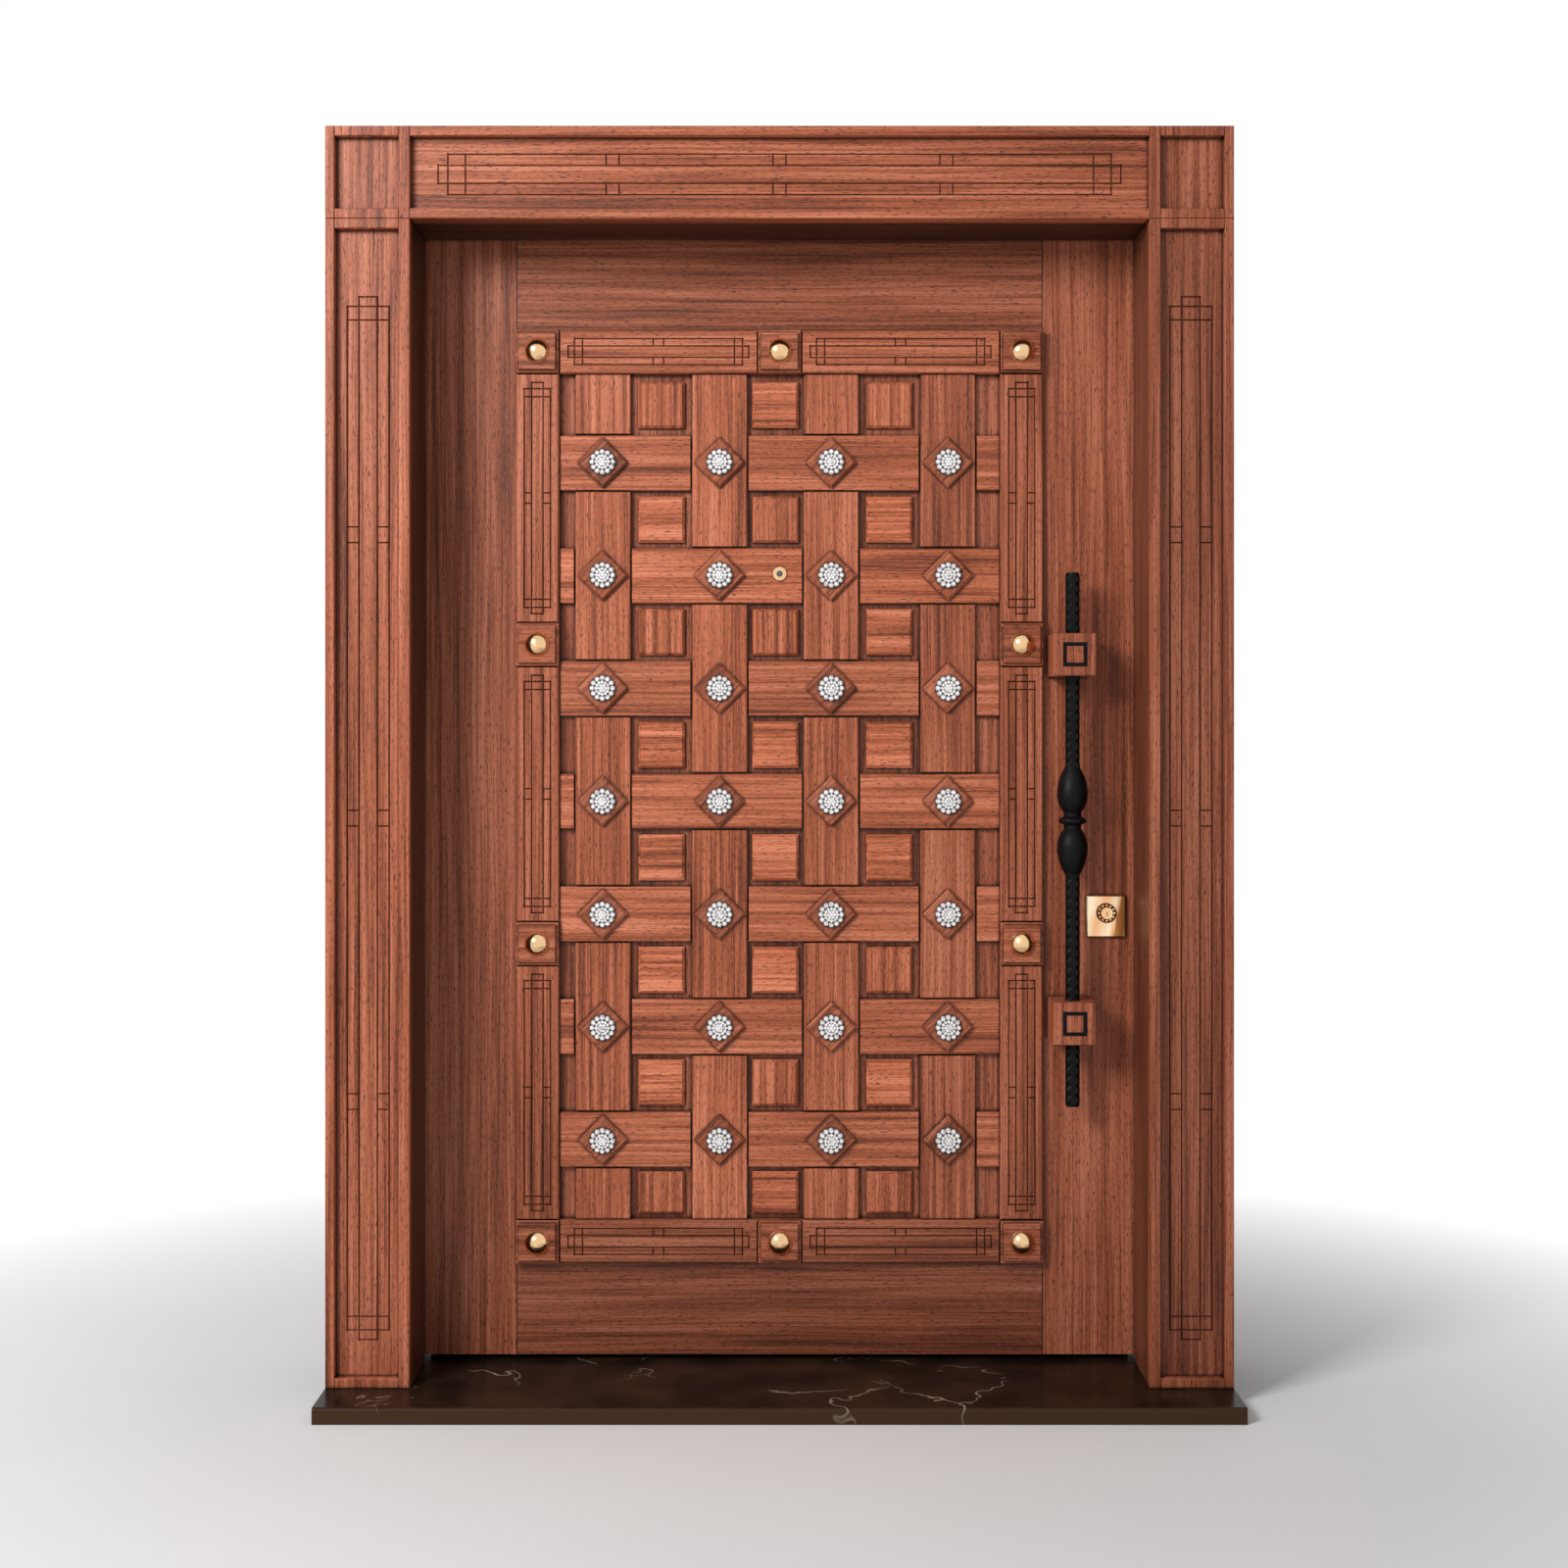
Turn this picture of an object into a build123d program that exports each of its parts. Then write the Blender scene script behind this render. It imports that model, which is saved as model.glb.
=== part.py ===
from build123d import *
import os

# Steel entrance door with its frame, clad in wood-grain boards. Millimetres, +Z up.
# The street side faces -Y. The origin is the middle of the threshold's underside,
# in the plane of the outer wall face.

# Doorway
opening_width = 1360.0
opening_height = 2150.0
threshold_height = 30.0
threshold_front_reach = 156.0
threshold_back_reach = 34.0
threshold_nosing = 6.0

# Outer casing round the doorway
casing_width = 155.0
header_height = 170.0
casing_board = 22.0
casing_strip = 18.0
strip_outer_width = 17.0
strip_inner_width = 20.0
strip_cross_width = 18.0
strip_edge = 1.2

# Reveal lining
lining_thickness = 18.0
lining_depth = 132.0
lining_edge = 1.2

# Pressed steel frame
frame_sheet = 2.0
frame_bend = 1.0
frame_reach = 63.0
frame_front = 60.0
frame_return = 33.0
nose_reach = 4.0
nose_thickness = 12.0
gasket_gap = 4.0
gasket_width = 8.0
gasket_inset = 9.0
gasket_squeeze = 0.3
anchor_hole_radius = 5.5
anchor_end_distance = 425.0

# Casing on the room side
inner_casing_width = 70.0
inner_casing_thickness = 12.0
inner_casing_setback = 34.0
inner_casing_edge = 2.5

# Leaf
leaf_overlap = 15.0
leaf_edge_gap = 4.0
leaf_floor_gap = 10.0
facing_thickness = 18.0
shell_thickness = 50.0
inner_board_thickness = 12.0
shell_sheet = 1.5
rib_sheet = 1.5
rib_width = 40.0
rib_count = 4
edge_channel_sheet = 3.0
edge_channel_depth = 40.0
seal_width = 20.0
seal_clearance = 0.5

# Outer facing: border moulding round a recessed field
stile_width = 190.0
bottom_rail_height = 179.0
top_rail_height = 189.0
border_width = 82.0
border_relief = 16.0
border_edge = 3.0
field_board_thickness = 12.0
lower_block_rise = 571.0
upper_block_drop = 561.0

# Engraved line pattern of mouldings and casing
groove_width = 3.6
groove_depth = 2.2
moulding_pattern_margin = 18.0
moulding_narrow_half = 11.0
moulding_wide_half = 25.0
moulding_wide_shortening = 12.0
moulding_cross_inset = 15.4
moulding_tick_gap = 10.0
pilaster_pattern_bottom = 85.0
pilaster_pattern_top = 141.0
pilaster_narrow_half = 17.0
pilaster_wide_half = 38.7
pilaster_wide_shortening = 17.7
pilaster_cross_inset = 25.0
pilaster_tick_pitch = 523.0
pilaster_tick_gap = 14.5
header_pattern_margin = 50.0
header_narrow_half = 16.5
header_wide_half = 37.3
header_wide_shortening = 18.0
header_cross_inset = 32.5
header_tick_pitch = 308.0
header_tick_gap = 12.0

# Studded corner and middle blocks of the border
stud_block_size = 82.0
stud_block_step = 5.0
stud_block_step_height = 6.0
stud_block_relief = 4.0
stud_block_edge = 1.5
stud_step_edge = 2.0
stud_radius = 24.0
stud_height = 15.5
stud_shank = 5.0
stud_shank_length = 20.0

# Woven field
bar_width = 105.0
bar_thickness = 14.0
bar_edge = 1.5
bar_seam = 3.0
weave_left_margin = 31.5
weave_right_margin = 47.5
weave_top_margin = 171.0
weave_bottom_margin = 153.0
middle_pitch_narrowing = 10.0
row_count = 7
square_size = 89.0
square_thickness = 11.0
square_bevel = 5.0
square_min_gap = 10.0
diamond_diagonal = 98.0
diamond_thickness = 10.0
diamond_bevel = 4.0
rosette_sides = 12
cup_radius = 26.0
cup_height = 4.0
crystal_radius = 24.0
crystal_girdle = 2.0
crystal_crown = 5.0
crystal_slope = 66.0

# Pull handle of black iron in two wooden blocks
pull_inset = 140.0
pull_stand_off = 60.0
pull_bottom = 527.0
pull_top = 1538.0
pull_bar_size = 26.0
pull_bar_edge = 3.0
pull_block_heights = (688.0, 1382.0)
pull_block_size = 80.0
pull_block_depth = 100.0
pull_block_edge = 1.5
pull_inlay_outer = 46.0
pull_inlay_inner = 31.0
pull_inlay_depth = 3.0
bulge_height = 1068.0
bulge_half_length = 107.0
bulge_end_radius = 10.4
bulge_lobe_radius = 29.0
bulge_lobe_offset = 50.0
bulge_neck_radius = 16.5
bulge_neck_offset = 16.0
bulge_ring_radius = 26.0
bulge_ring_half_height = 7.0
pull_bolt_radius = 5.0
pull_bolt_head_radius = 9.0
pull_bolt_head_height = 6.0
pull_bolt_head_edge = 2.0

# Lock
lock_backset = 68.0
cylinder_height = 889.0
follower_height = 974.0
lock_case_width = 88.0
lock_case_thickness = 22.0
lock_case_bottom = 828.0
lock_case_top = 1014.0
lock_case_sheet = 1.5
faceplate_thickness = 3.0
faceplate_width = 24.0
faceplate_bottom = 800.0
faceplate_top = 1042.0
bolt_radius = 9.0
bolt_pitch = 35.0
bolt_length = 48.0
bolt_nose = 1.0
bolt_recess = 0.5
bolt_clearance = 1.0
bolt_carrier_thickness = 8.0
bolt_carrier_width = 12.0
latch_throw = 12.0
latch_width = 14.0
latch_height = 24.0
latch_length = 40.0
latch_clearance = 0.5
latch_tail_rise = 24.0
latch_tail_height = 6.0
latch_tail_width = 10.0
latch_lug_drop = 10.0
latch_lug_thickness = 3.0
latch_lug_gap = 1.2
latch_riser = 6.0
follower_radius = 11.0
follower_journal_radius = 9.0
follower_thickness = 16.0
follower_arm_reach = 23.0
follower_arm_width = 6.0
spindle_size = 8.0
spindle_clearance = 0.05
cylinder_radius = 8.5
cylinder_leg_width = 10.0
cylinder_leg_drop = 25.0
cylinder_slot_drop = 18.0
cylinder_clearance = 0.5
cylinder_proud = 1.5
plug_radius = 6.5
plug_clearance = 0.05
keyway_width = 2.4
keyway_height = 9.0
keyway_drop = 1.0
keyway_depth = 20.0
cam_reach = 14.5
cam_thickness = 9.0
cam_width = 8.0
cam_play = 0.5
escutcheon_width = 75.0
escutcheon_height = 80.0
escutcheon_offset = 6.4
escutcheon_thickness = 9.0
escutcheon_edge = 2.0
escutcheon_pocket = 4.0
boss_radius = 17.0
boss_height = 8.0
boss_edge = 3.0

# Room-side furniture
lever_plate_width = 45.0
lever_plate_bottom = 842.0
lever_plate_top = 1012.0
lever_plate_thickness = 8.0
lever_plate_edge = 2.0
lever_plate_web = 2.0
lever_neck_radius = 9.0
lever_neck_length = 40.0
lever_grip_length = 124.0
lever_grip_width = 20.0
lever_grip_thickness = 12.0
lever_grip_edge = 4.0
lever_tip_edge = 1.5
lever_spring_radius = 12.0
lever_spring_thickness = 1.6
lever_spring_width = 4.0
lever_spring_leg = 2.0
lever_spring_opening = 6.0
lever_spring_room = 17.0
running_clearance = 0.05
thumbturn_stem_radius = 6.5
thumbturn_stem_length = 18.0
thumbturn_grip_length = 34.0
thumbturn_grip_thickness = 8.0
thumbturn_grip_depth = 16.0
thumbturn_grip_lap = 4.0
thumbturn_corner = 4.8

# Door viewer
viewer_share = 0.587
viewer_rise = 3.5
viewer_radius = 8.0
viewer_rim_radius = 14.0
viewer_rim_height = 3.0
viewer_rim_edge = 1.0
viewer_lens_radius = 6.0
viewer_lens_length = 6.0
viewer_lens_inset = 0.5
viewer_cover_radius = 13.0
viewer_cover_thickness = 2.5
viewer_cover_lift = 17.0
viewer_cover_ear_radius = 4.0
viewer_cover_neck = 6.0
viewer_cover_pivot_radius = 2.0
viewer_cover_gap = 0.3

# Hinges
hinge_end_distance = 250.0
hinge_plate_height = 120.0
hinge_plate_width = 36.0
hinge_plate_thickness = 3.0
hinge_backing = 4.0
hinge_backing_margin = 12.0
hinge_axis_offset = 10.0
knuckle_radius = 9.5
knuckle_gap = 2.0
hinge_pin_radius = 5.0
hinge_pin_cap = 5.0
hinge_pin_reach = 45.0

# Strike with a swinging keeper, stored released
strike_thickness = 3.0
strike_bottom = 822.0
strike_top = 1016.0
strike_front_inset = 26.0
strike_back_gap = 1.0
latch_slot_half_height = 19.0
latch_slot_depth = 12.0
latch_slot_play = 3.0
keeper_thickness = 11.0
keeper_half_height = 17.0
keeper_hub_radius = 6.0
keeper_root = 4.0
keeper_offset = 1.0
keeper_pin_radius = 3.0
keeper_play = 1.0
keeper_side_gap = 0.3
keeper_tip_gap = 0.5
keeper_back_gap = 1.5
keeper_housing_sheet = 2.0

# How far a cut runs past the faces that it opens
past = 1.0

# Planes and edges that the pieces share
half_opening = opening_width / 2
opening_top = threshold_height + opening_height
casing_outer = half_opening + casing_width
casing_top = opening_top + header_height
panel_front = -casing_board
casing_front = panel_front - casing_strip
leaf_front = lining_depth + nose_thickness + gasket_gap
shell_front = leaf_front + facing_thickness
shell_back = shell_front + shell_thickness
leaf_back = shell_back + inner_board_thickness
leaf_half = half_opening + leaf_overlap
leaf_bottom = threshold_height + leaf_floor_gap
leaf_top = opening_top + leaf_overlap
rebate_face = leaf_overlap + leaf_edge_gap
threshold_back = leaf_back + threshold_back_reach
anchor_heights = (threshold_height + anchor_end_distance, opening_top - anchor_end_distance)
hinge_heights = (leaf_bottom + hinge_end_distance, (leaf_bottom + leaf_top) / 2,
                 leaf_top - hinge_end_distance)
hinge_x = -leaf_half - leaf_edge_gap / 2
hinge_y = leaf_back + hinge_axis_offset

# Border and woven field
border_front = leaf_front - border_relief
border_half = leaf_half - stile_width
border_bottom = leaf_bottom + bottom_rail_height
border_top = leaf_top - top_rail_height
field_front = shell_front - field_board_thickness
field_half = border_half - border_width
field_bottom = border_bottom + border_width
field_top = border_top - border_width
bar_front = field_front - bar_thickness
diamond_front = bar_front - diamond_thickness
first_column = -field_half + weave_left_margin + bar_width / 2
last_column = field_half - weave_right_margin - bar_width / 2
outer_pitch = (last_column - first_column + middle_pitch_narrowing) / 3
column_centres = (first_column, first_column + outer_pitch, last_column - outer_pitch, last_column)
first_row = field_top - weave_top_margin
last_row = field_bottom + weave_bottom_margin
row_pitch = (first_row - last_row) / (row_count - 1)
row_centres = tuple(first_row - index * row_pitch for index in range(row_count))

# Handle, lock and viewer
pull_x = leaf_half - pull_inset
pull_y = leaf_front - pull_stand_off
cylinder_x = leaf_half - lock_backset
lock_centre_y = (shell_front + shell_back) / 2
bolt_heights = tuple(cylinder_height + step * bolt_pitch for step in (-1, 0, 1))
keeper_y = lock_centre_y + latch_width / 2 + keeper_play + keeper_offset
keeper_reach = leaf_back - frame_sheet - keeper_y - keeper_tip_gap
keeper_x = half_opening + rebate_face + keeper_reach + keeper_back_gap
viewer_left = column_centres[1] + diamond_diagonal / 2
viewer_right = column_centres[2] - bar_width / 2
viewer_x = viewer_left + viewer_share * (viewer_right - viewer_left)
viewer_height = row_centres[1] + viewer_rise


def block(x_range, y_range, z_range):
    """Box between two limits on each axis."""
    lengths = [high - low for low, high in (x_range, y_range, z_range)]
    middle = [(high + low) / 2 for low, high in (x_range, y_range, z_range)]
    return Pos(*middle) * Box(*lengths)


def tile(x_range, y_range, z_range, bevel):
    """Board lying in the facade, with its street-side edges bevelled."""
    board = block(x_range, y_range, z_range)
    return chamfer(board.faces().sort_by(Axis.Y)[0].edges(), bevel)


def around(centre, size):
    """Limits of a length laid evenly about its centre."""
    return (centre - size / 2, centre + size / 2)


def through(limits):
    """Limits of a cut that opens both faces of a piece."""
    low, high = limits
    return (low - past, high + past)


def rod(radius, y_range, x, z):
    """Round bar along Y."""
    start, end = y_range
    return Pos(x, (start + end) / 2, z) * Rot(90, 0, 0) * Cylinder(radius, end - start)


def rod_across(radius, x_range, y, z):
    """Round bar along X."""
    start, end = x_range
    return Pos((start + end) / 2, y, z) * Rot(0, 90, 0) * Cylinder(radius, end - start)


def post(radius, z_range, x, y):
    """Round bar along Z."""
    start, end = z_range
    return Pos(x, y, (start + end) / 2) * Cylinder(radius, end - start)


def both_sides(piece):
    """A piece and its mirror image on the other side of the doorway."""
    return [piece, mirror(piece, Plane.YZ)]


def groove(start, end, face):
    """V-cut between two points (x, z) of a face that looks at the street."""
    half = groove_width / 2
    mouth = half * (groove_depth + past) / groove_depth
    (x0, z0), (x1, z1) = start, end
    if z0 == z1:
        outline = [(face + groove_depth, z0), (face - past, z0 + mouth), (face - past, z0 - mouth)]
        plane = Plane.YZ.offset(min(x0, x1) - half)
        length = abs(x1 - x0)
    else:
        outline = [(x0, face + groove_depth), (x0 - mouth, face - past), (x0 + mouth, face - past)]
        plane = Plane.XY.offset(min(z0, z1) - half)
        length = abs(z1 - z0)
    return extrude(plane * make_face(Polyline(*outline, close=True)), length + groove_width)


def lattice(centre, half_length, halves, shortening, cross_inset, ticks, tick_gap, upright, face):
    """Engraving of a narrow long rectangle through a wide short one, with cross-lines and ticks."""
    narrow_half, wide_half = halves
    wide_length = half_length - shortening
    lines = []
    for side in (-1, 1):
        for long_half, cross_half in ((half_length, narrow_half), (wide_length, wide_half)):
            lines.append(((-long_half, side * cross_half), (long_half, side * cross_half)))
            lines.append(((side * long_half, -cross_half), (side * long_half, cross_half)))
        cross = side * (wide_length - cross_inset)
        lines.append(((cross, -wide_half), (cross, wide_half)))
        for tick in ticks:
            for shift in (-tick_gap, tick_gap):
                along = tick + shift
                lines.append(((along, side * narrow_half), (along, side * wide_half)))
    cuts = []
    for line in lines:
        if upright:
            ends = [(centre[0] + across, centre[1] + along) for along, across in line]
        else:
            ends = [(centre[0] + along, centre[1] + across) for along, across in line]
        cuts.append(groove(ends[0], ends[1], face))
    return cuts


def solids_of(pieces):
    """Every solid in a list of shapes."""
    return [solid for piece in pieces for solid in piece.solids()]


# Threshold and casing

def threshold():
    slab = block((-casing_outer, casing_outer), (-threshold_front_reach, threshold_back), (0, threshold_height))
    front_edge = slab.faces().sort_by(Axis.Y)[0].edges().sort_by(Axis.Z)[-1]
    return [fillet(front_edge, threshold_nosing)]


def pilaster_panel():
    """Right-hand pilaster board with its engraving."""
    x_range = (half_opening + lining_thickness, casing_outer)
    board = block(x_range, (panel_front, 0), (threshold_height, opening_top))
    low = threshold_height + pilaster_pattern_bottom
    high = opening_top - pilaster_pattern_top
    recess_left = half_opening + strip_inner_width
    recess_right = casing_outer - strip_outer_width
    centre = ((recess_left + recess_right) / 2, (low + high) / 2)
    ticks = [step * pilaster_tick_pitch for step in (-1, 0, 1)]
    halves = (pilaster_narrow_half, pilaster_wide_half)
    cuts = lattice(centre, (high - low) / 2, halves, pilaster_wide_shortening,
                   pilaster_cross_inset, ticks, pilaster_tick_gap, True, panel_front)
    return board - cuts


def strip_frame(z_range):
    """Raised strips round one panel of the right-hand casing."""
    y_range = (casing_front, panel_front)
    low, high = z_range
    inner = (half_opening, half_opening + strip_inner_width)
    outer = (casing_outer - strip_outer_width, casing_outer)
    between = (inner[1], outer[0])
    return [
        tile(inner, y_range, z_range, strip_edge),
        tile(outer, y_range, z_range, strip_edge),
        tile(between, y_range, (low, low + strip_cross_width), strip_edge),
        tile(between, y_range, (high - strip_cross_width, high), strip_edge),
    ]


def casing_strips():
    """Strips of both pilasters and both corner panels."""
    uprights = strip_frame((threshold_height, opening_top)) + strip_frame((opening_top, casing_top))
    return [strip for piece in uprights for strip in both_sides(piece)]


def corner_panel():
    x_range = (half_opening, casing_outer)
    return block(x_range, (panel_front, 0), (opening_top, casing_top))


def header_panel():
    board = block((-half_opening, half_opening), (panel_front, 0), (opening_top, casing_top))
    centre = (0, (opening_top + casing_top) / 2)
    ticks = [step * header_tick_pitch for step in (-1, 0, 1)]
    halves = (header_narrow_half, header_wide_half)
    cuts = lattice(centre, half_opening - header_pattern_margin, halves, header_wide_shortening,
                   header_cross_inset, ticks, header_tick_gap, False, panel_front)
    return [board - cuts]


def header_strips():
    x_range = (-half_opening, half_opening)
    y_range = (casing_front, panel_front)
    return [
        tile(x_range, y_range, (opening_top, opening_top + strip_cross_width), strip_edge),
        tile(x_range, y_range, (casing_top - strip_cross_width, casing_top), strip_edge),
    ]


def lining_right():
    """Lining board, from behind the casing's inner strip to the frame, its hidden back edge eased."""
    x_range = (half_opening, half_opening + lining_thickness)
    board = block(x_range, (panel_front, lining_depth), (threshold_height, opening_top))
    hidden = board.faces().sort_by(Axis.Y)[-1].edges().sort_by(Axis.X)[-1]
    return chamfer(hidden, lining_edge)


def lining_head():
    half = half_opening + lining_thickness
    board = block((-half, half), (0, lining_depth), (opening_top, opening_top + lining_thickness))
    back = board.faces().sort_by(Axis.Y)[-1].edges()
    hidden = back.sort_by(Axis.Z)[1:]
    return [chamfer(hidden, lining_edge)]


def inner_casings():
    """Flat boards round the doorway on the room side."""
    start = half_opening + inner_casing_setback
    end = start + inner_casing_width
    head_bottom = opening_top + inner_casing_setback
    y_range = (leaf_back, leaf_back + inner_casing_thickness)
    upright = block((start, end), y_range, (threshold_height, head_bottom))
    head = block((-end, end), y_range, (head_bottom, head_bottom + inner_casing_width))
    boards = []
    for board in both_sides(upright) + [head]:
        room_face = board.faces().sort_by(Axis.Y)[-1]
        boards.append(chamfer(room_face.edges(), inner_casing_edge))
    return boards


# Steel frame

def frame_section():
    """Path of the pressed frame: depth from the doorway edge, and distance into the wall."""
    half = frame_sheet / 2
    reach = frame_reach - half
    leg = lining_thickness + half
    nose = nose_reach + half
    nose_front = lining_depth + half
    nose_back = leaf_front - gasket_gap - half
    rebate = rebate_face + half
    back = leaf_back - half
    return [
        (reach, frame_front + half),
        (leg, frame_front + half),
        (leg, nose_front),
        (nose, nose_front),
        (nose, nose_back),
        (rebate, nose_back),
        (rebate, back),
        (reach, back),
        (reach, leaf_back - frame_return),
    ]


def folded_outline(path):
    """Closed outline of a sheet bent at right angles along a path, with bend radii."""
    steps = [(end[0] - start[0], end[1] - start[1]) for start, end in zip(path, path[1:])]
    lengths = [abs(dx) + abs(dy) for dx, dy in steps]
    ways = [(dx / length, dy / length) for (dx, dy), length in zip(steps, lengths)]
    half = frame_sheet / 2
    sides = {}
    for side in (1, -1):
        points = []
        radii = []
        for index, (u, v) in enumerate(path):
            around_point = ways[max(index - 1, 0):index + 1]
            shift_u = sum(-way[1] for way in around_point) * half * side
            shift_v = sum(way[0] for way in around_point) * half * side
            points.append((u + shift_u, v + shift_v))
            if len(around_point) < 2 or index == 0:
                radii.append(0)
                continue
            (ax, ay), (bx, by) = around_point
            turn = ax * by - ay * bx
            inside = turn * side > 0
            radii.append(frame_bend if inside else frame_bend + frame_sheet)
        sides[side] = (points, radii)
    points = sides[1][0] + sides[-1][0][::-1]
    radii = sides[1][1] + sides[-1][1][::-1]
    return points, radii


def right_jamb_blank():
    """Right-hand jamb, mitred at the head, before it is cut for lock or hinges."""
    outline, radii = folded_outline(frame_section())
    points = [(half_opening + u, v) for u, v in outline]
    section = make_face(FilletPolyline(*points, radius=radii, close=True))
    height = opening_height + frame_reach
    jamb = extrude(Plane.XY.offset(threshold_height) * section, height)
    mitre = Plane(origin=(half_opening, 0, opening_top), z_dir=(-1, 0, 1))
    jamb = split(jamb, bisect_by=mitre, keep=Keep.BOTTOM)
    for height in anchor_heights:
        hole = rod_across(anchor_hole_radius, around(half_opening + rebate_face, 4 * frame_sheet),
                          lock_centre_y, height)
        jamb = jamb - hole
    return jamb


def head_jamb():
    outline, radii = folded_outline(frame_section())
    points = [(v, opening_top + u) for u, v in outline]
    section = make_face(FilletPolyline(*points, radius=radii, close=True))
    half = half_opening + frame_reach
    head = extrude(Plane.YZ.offset(-half) * section, 2 * half)
    for side in (-1, 1):
        mitre = Plane(origin=(side * half_opening, 0, opening_top), z_dir=(-side, 0, 1))
        head = split(head, bisect_by=mitre, keep=Keep.TOP)
    return [head]


def hinge_pocket(height, x_range):
    """Room for a hinge plate laid into an edge."""
    y_range = (leaf_back - hinge_plate_width, leaf_back + frame_sheet)
    return block(x_range, y_range, around(height, hinge_plate_height))


def frame_plate_x():
    """Limits of the hinge plate in the jamb's rebate."""
    face = -half_opening - rebate_face
    return (face - hinge_plate_thickness, face)


def leaf_plate_x():
    """Limits of the hinge plate in the leaf's edge."""
    return (-leaf_half, -leaf_half + hinge_plate_thickness)


def hinge_jamb():
    """Left jamb, with a welded backing plate and a pocket behind each hinge."""
    jamb = mirror(right_jamb_blank(), Plane.YZ)
    plate_back, face = frame_plate_x()
    wall_back = face - frame_sheet
    backing_back = plate_back - hinge_backing
    y_range = (leaf_back - hinge_plate_width - hinge_backing_margin, leaf_back - frame_sheet)
    for height in hinge_heights:
        tall = around(height, hinge_plate_height + 2 * hinge_backing_margin)
        jamb = jamb + block((backing_back, wall_back), y_range, tall)
        jamb = jamb - hinge_pocket(height, (plate_back, face + past))
    return [jamb]


def strike_y_range():
    front = leaf_front + strike_front_inset
    return (front, leaf_back - frame_sheet - strike_back_gap)


def latch_slot():
    """Way out for the latch through the jamb's rebate and room-side face."""
    face = half_opening + rebate_face
    front = lock_centre_y - latch_width / 2 - latch_slot_play
    x_range = (face - past, face + latch_slot_depth)
    tall = around(follower_height, 2 * latch_slot_half_height)
    return block(x_range, (front, leaf_back + past), tall)


def lock_jamb():
    """Right jamb, with holes for the bolts and a slot for the latch."""
    jamb = right_jamb_blank() - latch_slot()
    face = half_opening + rebate_face
    for height in bolt_heights:
        jamb = jamb - rod_across(bolt_radius + bolt_clearance, around(face, 4 * frame_sheet),
                                 lock_centre_y, height)
    return [jamb]


def frame_gaskets():
    """Rubber strips on the stop nose, just clear of the closed leaf."""
    y_range = (leaf_front - gasket_gap, leaf_front - gasket_squeeze)
    near = half_opening + gasket_inset - gasket_width / 2
    far = near + gasket_width
    low = opening_top + gasket_inset - gasket_width / 2
    upright = block((near, far), y_range, (threshold_height, low))
    head = block((-far, far), y_range, (low, low + gasket_width))
    return both_sides(upright) + [head]


# Hinges

def knuckle(z_range):
    return post(knuckle_radius, z_range, hinge_x, hinge_y)


def hinge_half(height, x_range, z_range):
    """Plate of a hinge with its knuckle and the link between them."""
    y_plate = (leaf_back - hinge_plate_width, leaf_back)
    plate = block(x_range, y_plate, around(height, hinge_plate_height))
    link = block(x_range, (leaf_back, hinge_y), z_range)
    return plate + link + knuckle(z_range)


def hinge_frame_halves():
    halves = []
    for height in hinge_heights:
        z_range = (height - hinge_plate_height / 2, height - knuckle_gap / 2)
        half = hinge_half(height, frame_plate_x(), z_range)
        halves.append(half - post(hinge_pin_radius, z_range, hinge_x, hinge_y))
    return halves


def hinge_leaf_halves():
    halves = []
    for height in hinge_heights:
        z_range = (height + knuckle_gap / 2, height + hinge_plate_height / 2)
        half = hinge_half(height, leaf_plate_x(), z_range)
        bore = (z_range[0] - past, height + hinge_pin_reach + past)
        halves.append(half - post(hinge_pin_radius + running_clearance, bore, hinge_x, hinge_y))
    return halves


def hinge_pins():
    pins = []
    for height in hinge_heights:
        bottom = height - hinge_plate_height / 2
        shaft = post(hinge_pin_radius, (bottom, height + hinge_pin_reach), hinge_x, hinge_y)
        cap = post(knuckle_radius, (bottom - hinge_pin_cap, bottom), hinge_x, hinge_y)
        pins.append(shaft + cap)
    return pins


def hinge_washers():
    washers = []
    for height in hinge_heights:
        z_range = around(height, knuckle_gap)
        ring = post(knuckle_radius, z_range, hinge_x, hinge_y)
        washers.append(ring - post(hinge_pin_radius + running_clearance, z_range, hinge_x, hinge_y))
    return washers


def keeper_z_range():
    return around(follower_height, 2 * keeper_half_height)


# Strike and keeper

def strike_plate():
    """Plate behind the jamb with the keeper's housing welded to its back."""
    front = half_opening + rebate_face + frame_sheet
    back = front + strike_thickness
    y_range = strike_y_range()
    plate = block((front, back), y_range, (strike_bottom, strike_top))
    opening = around(follower_height, 2 * (keeper_half_height + keeper_side_gap))
    tall = (opening[0] - keeper_housing_sheet, opening[1] + keeper_housing_sheet)
    end = keeper_x + keeper_thickness - keeper_offset + keeper_back_gap
    outside = block((back, end + keeper_housing_sheet), y_range, tall)
    plate = plate + (outside - block((back, end), through(y_range), opening))
    for height in bolt_heights:
        plate = plate - rod_across(bolt_radius + bolt_clearance, through((front, back)),
                                   lock_centre_y, height)
    slot = block(through((front, back)), (latch_slot().bounding_box().min.Y, leaf_back), opening)
    return [plate - slot - post(keeper_pin_radius, tall, keeper_x, keeper_y)]


def keeper_pin():
    half = keeper_half_height + keeper_side_gap + keeper_housing_sheet
    return [post(keeper_pin_radius, around(follower_height, 2 * half), keeper_x, keeper_y)]


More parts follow.
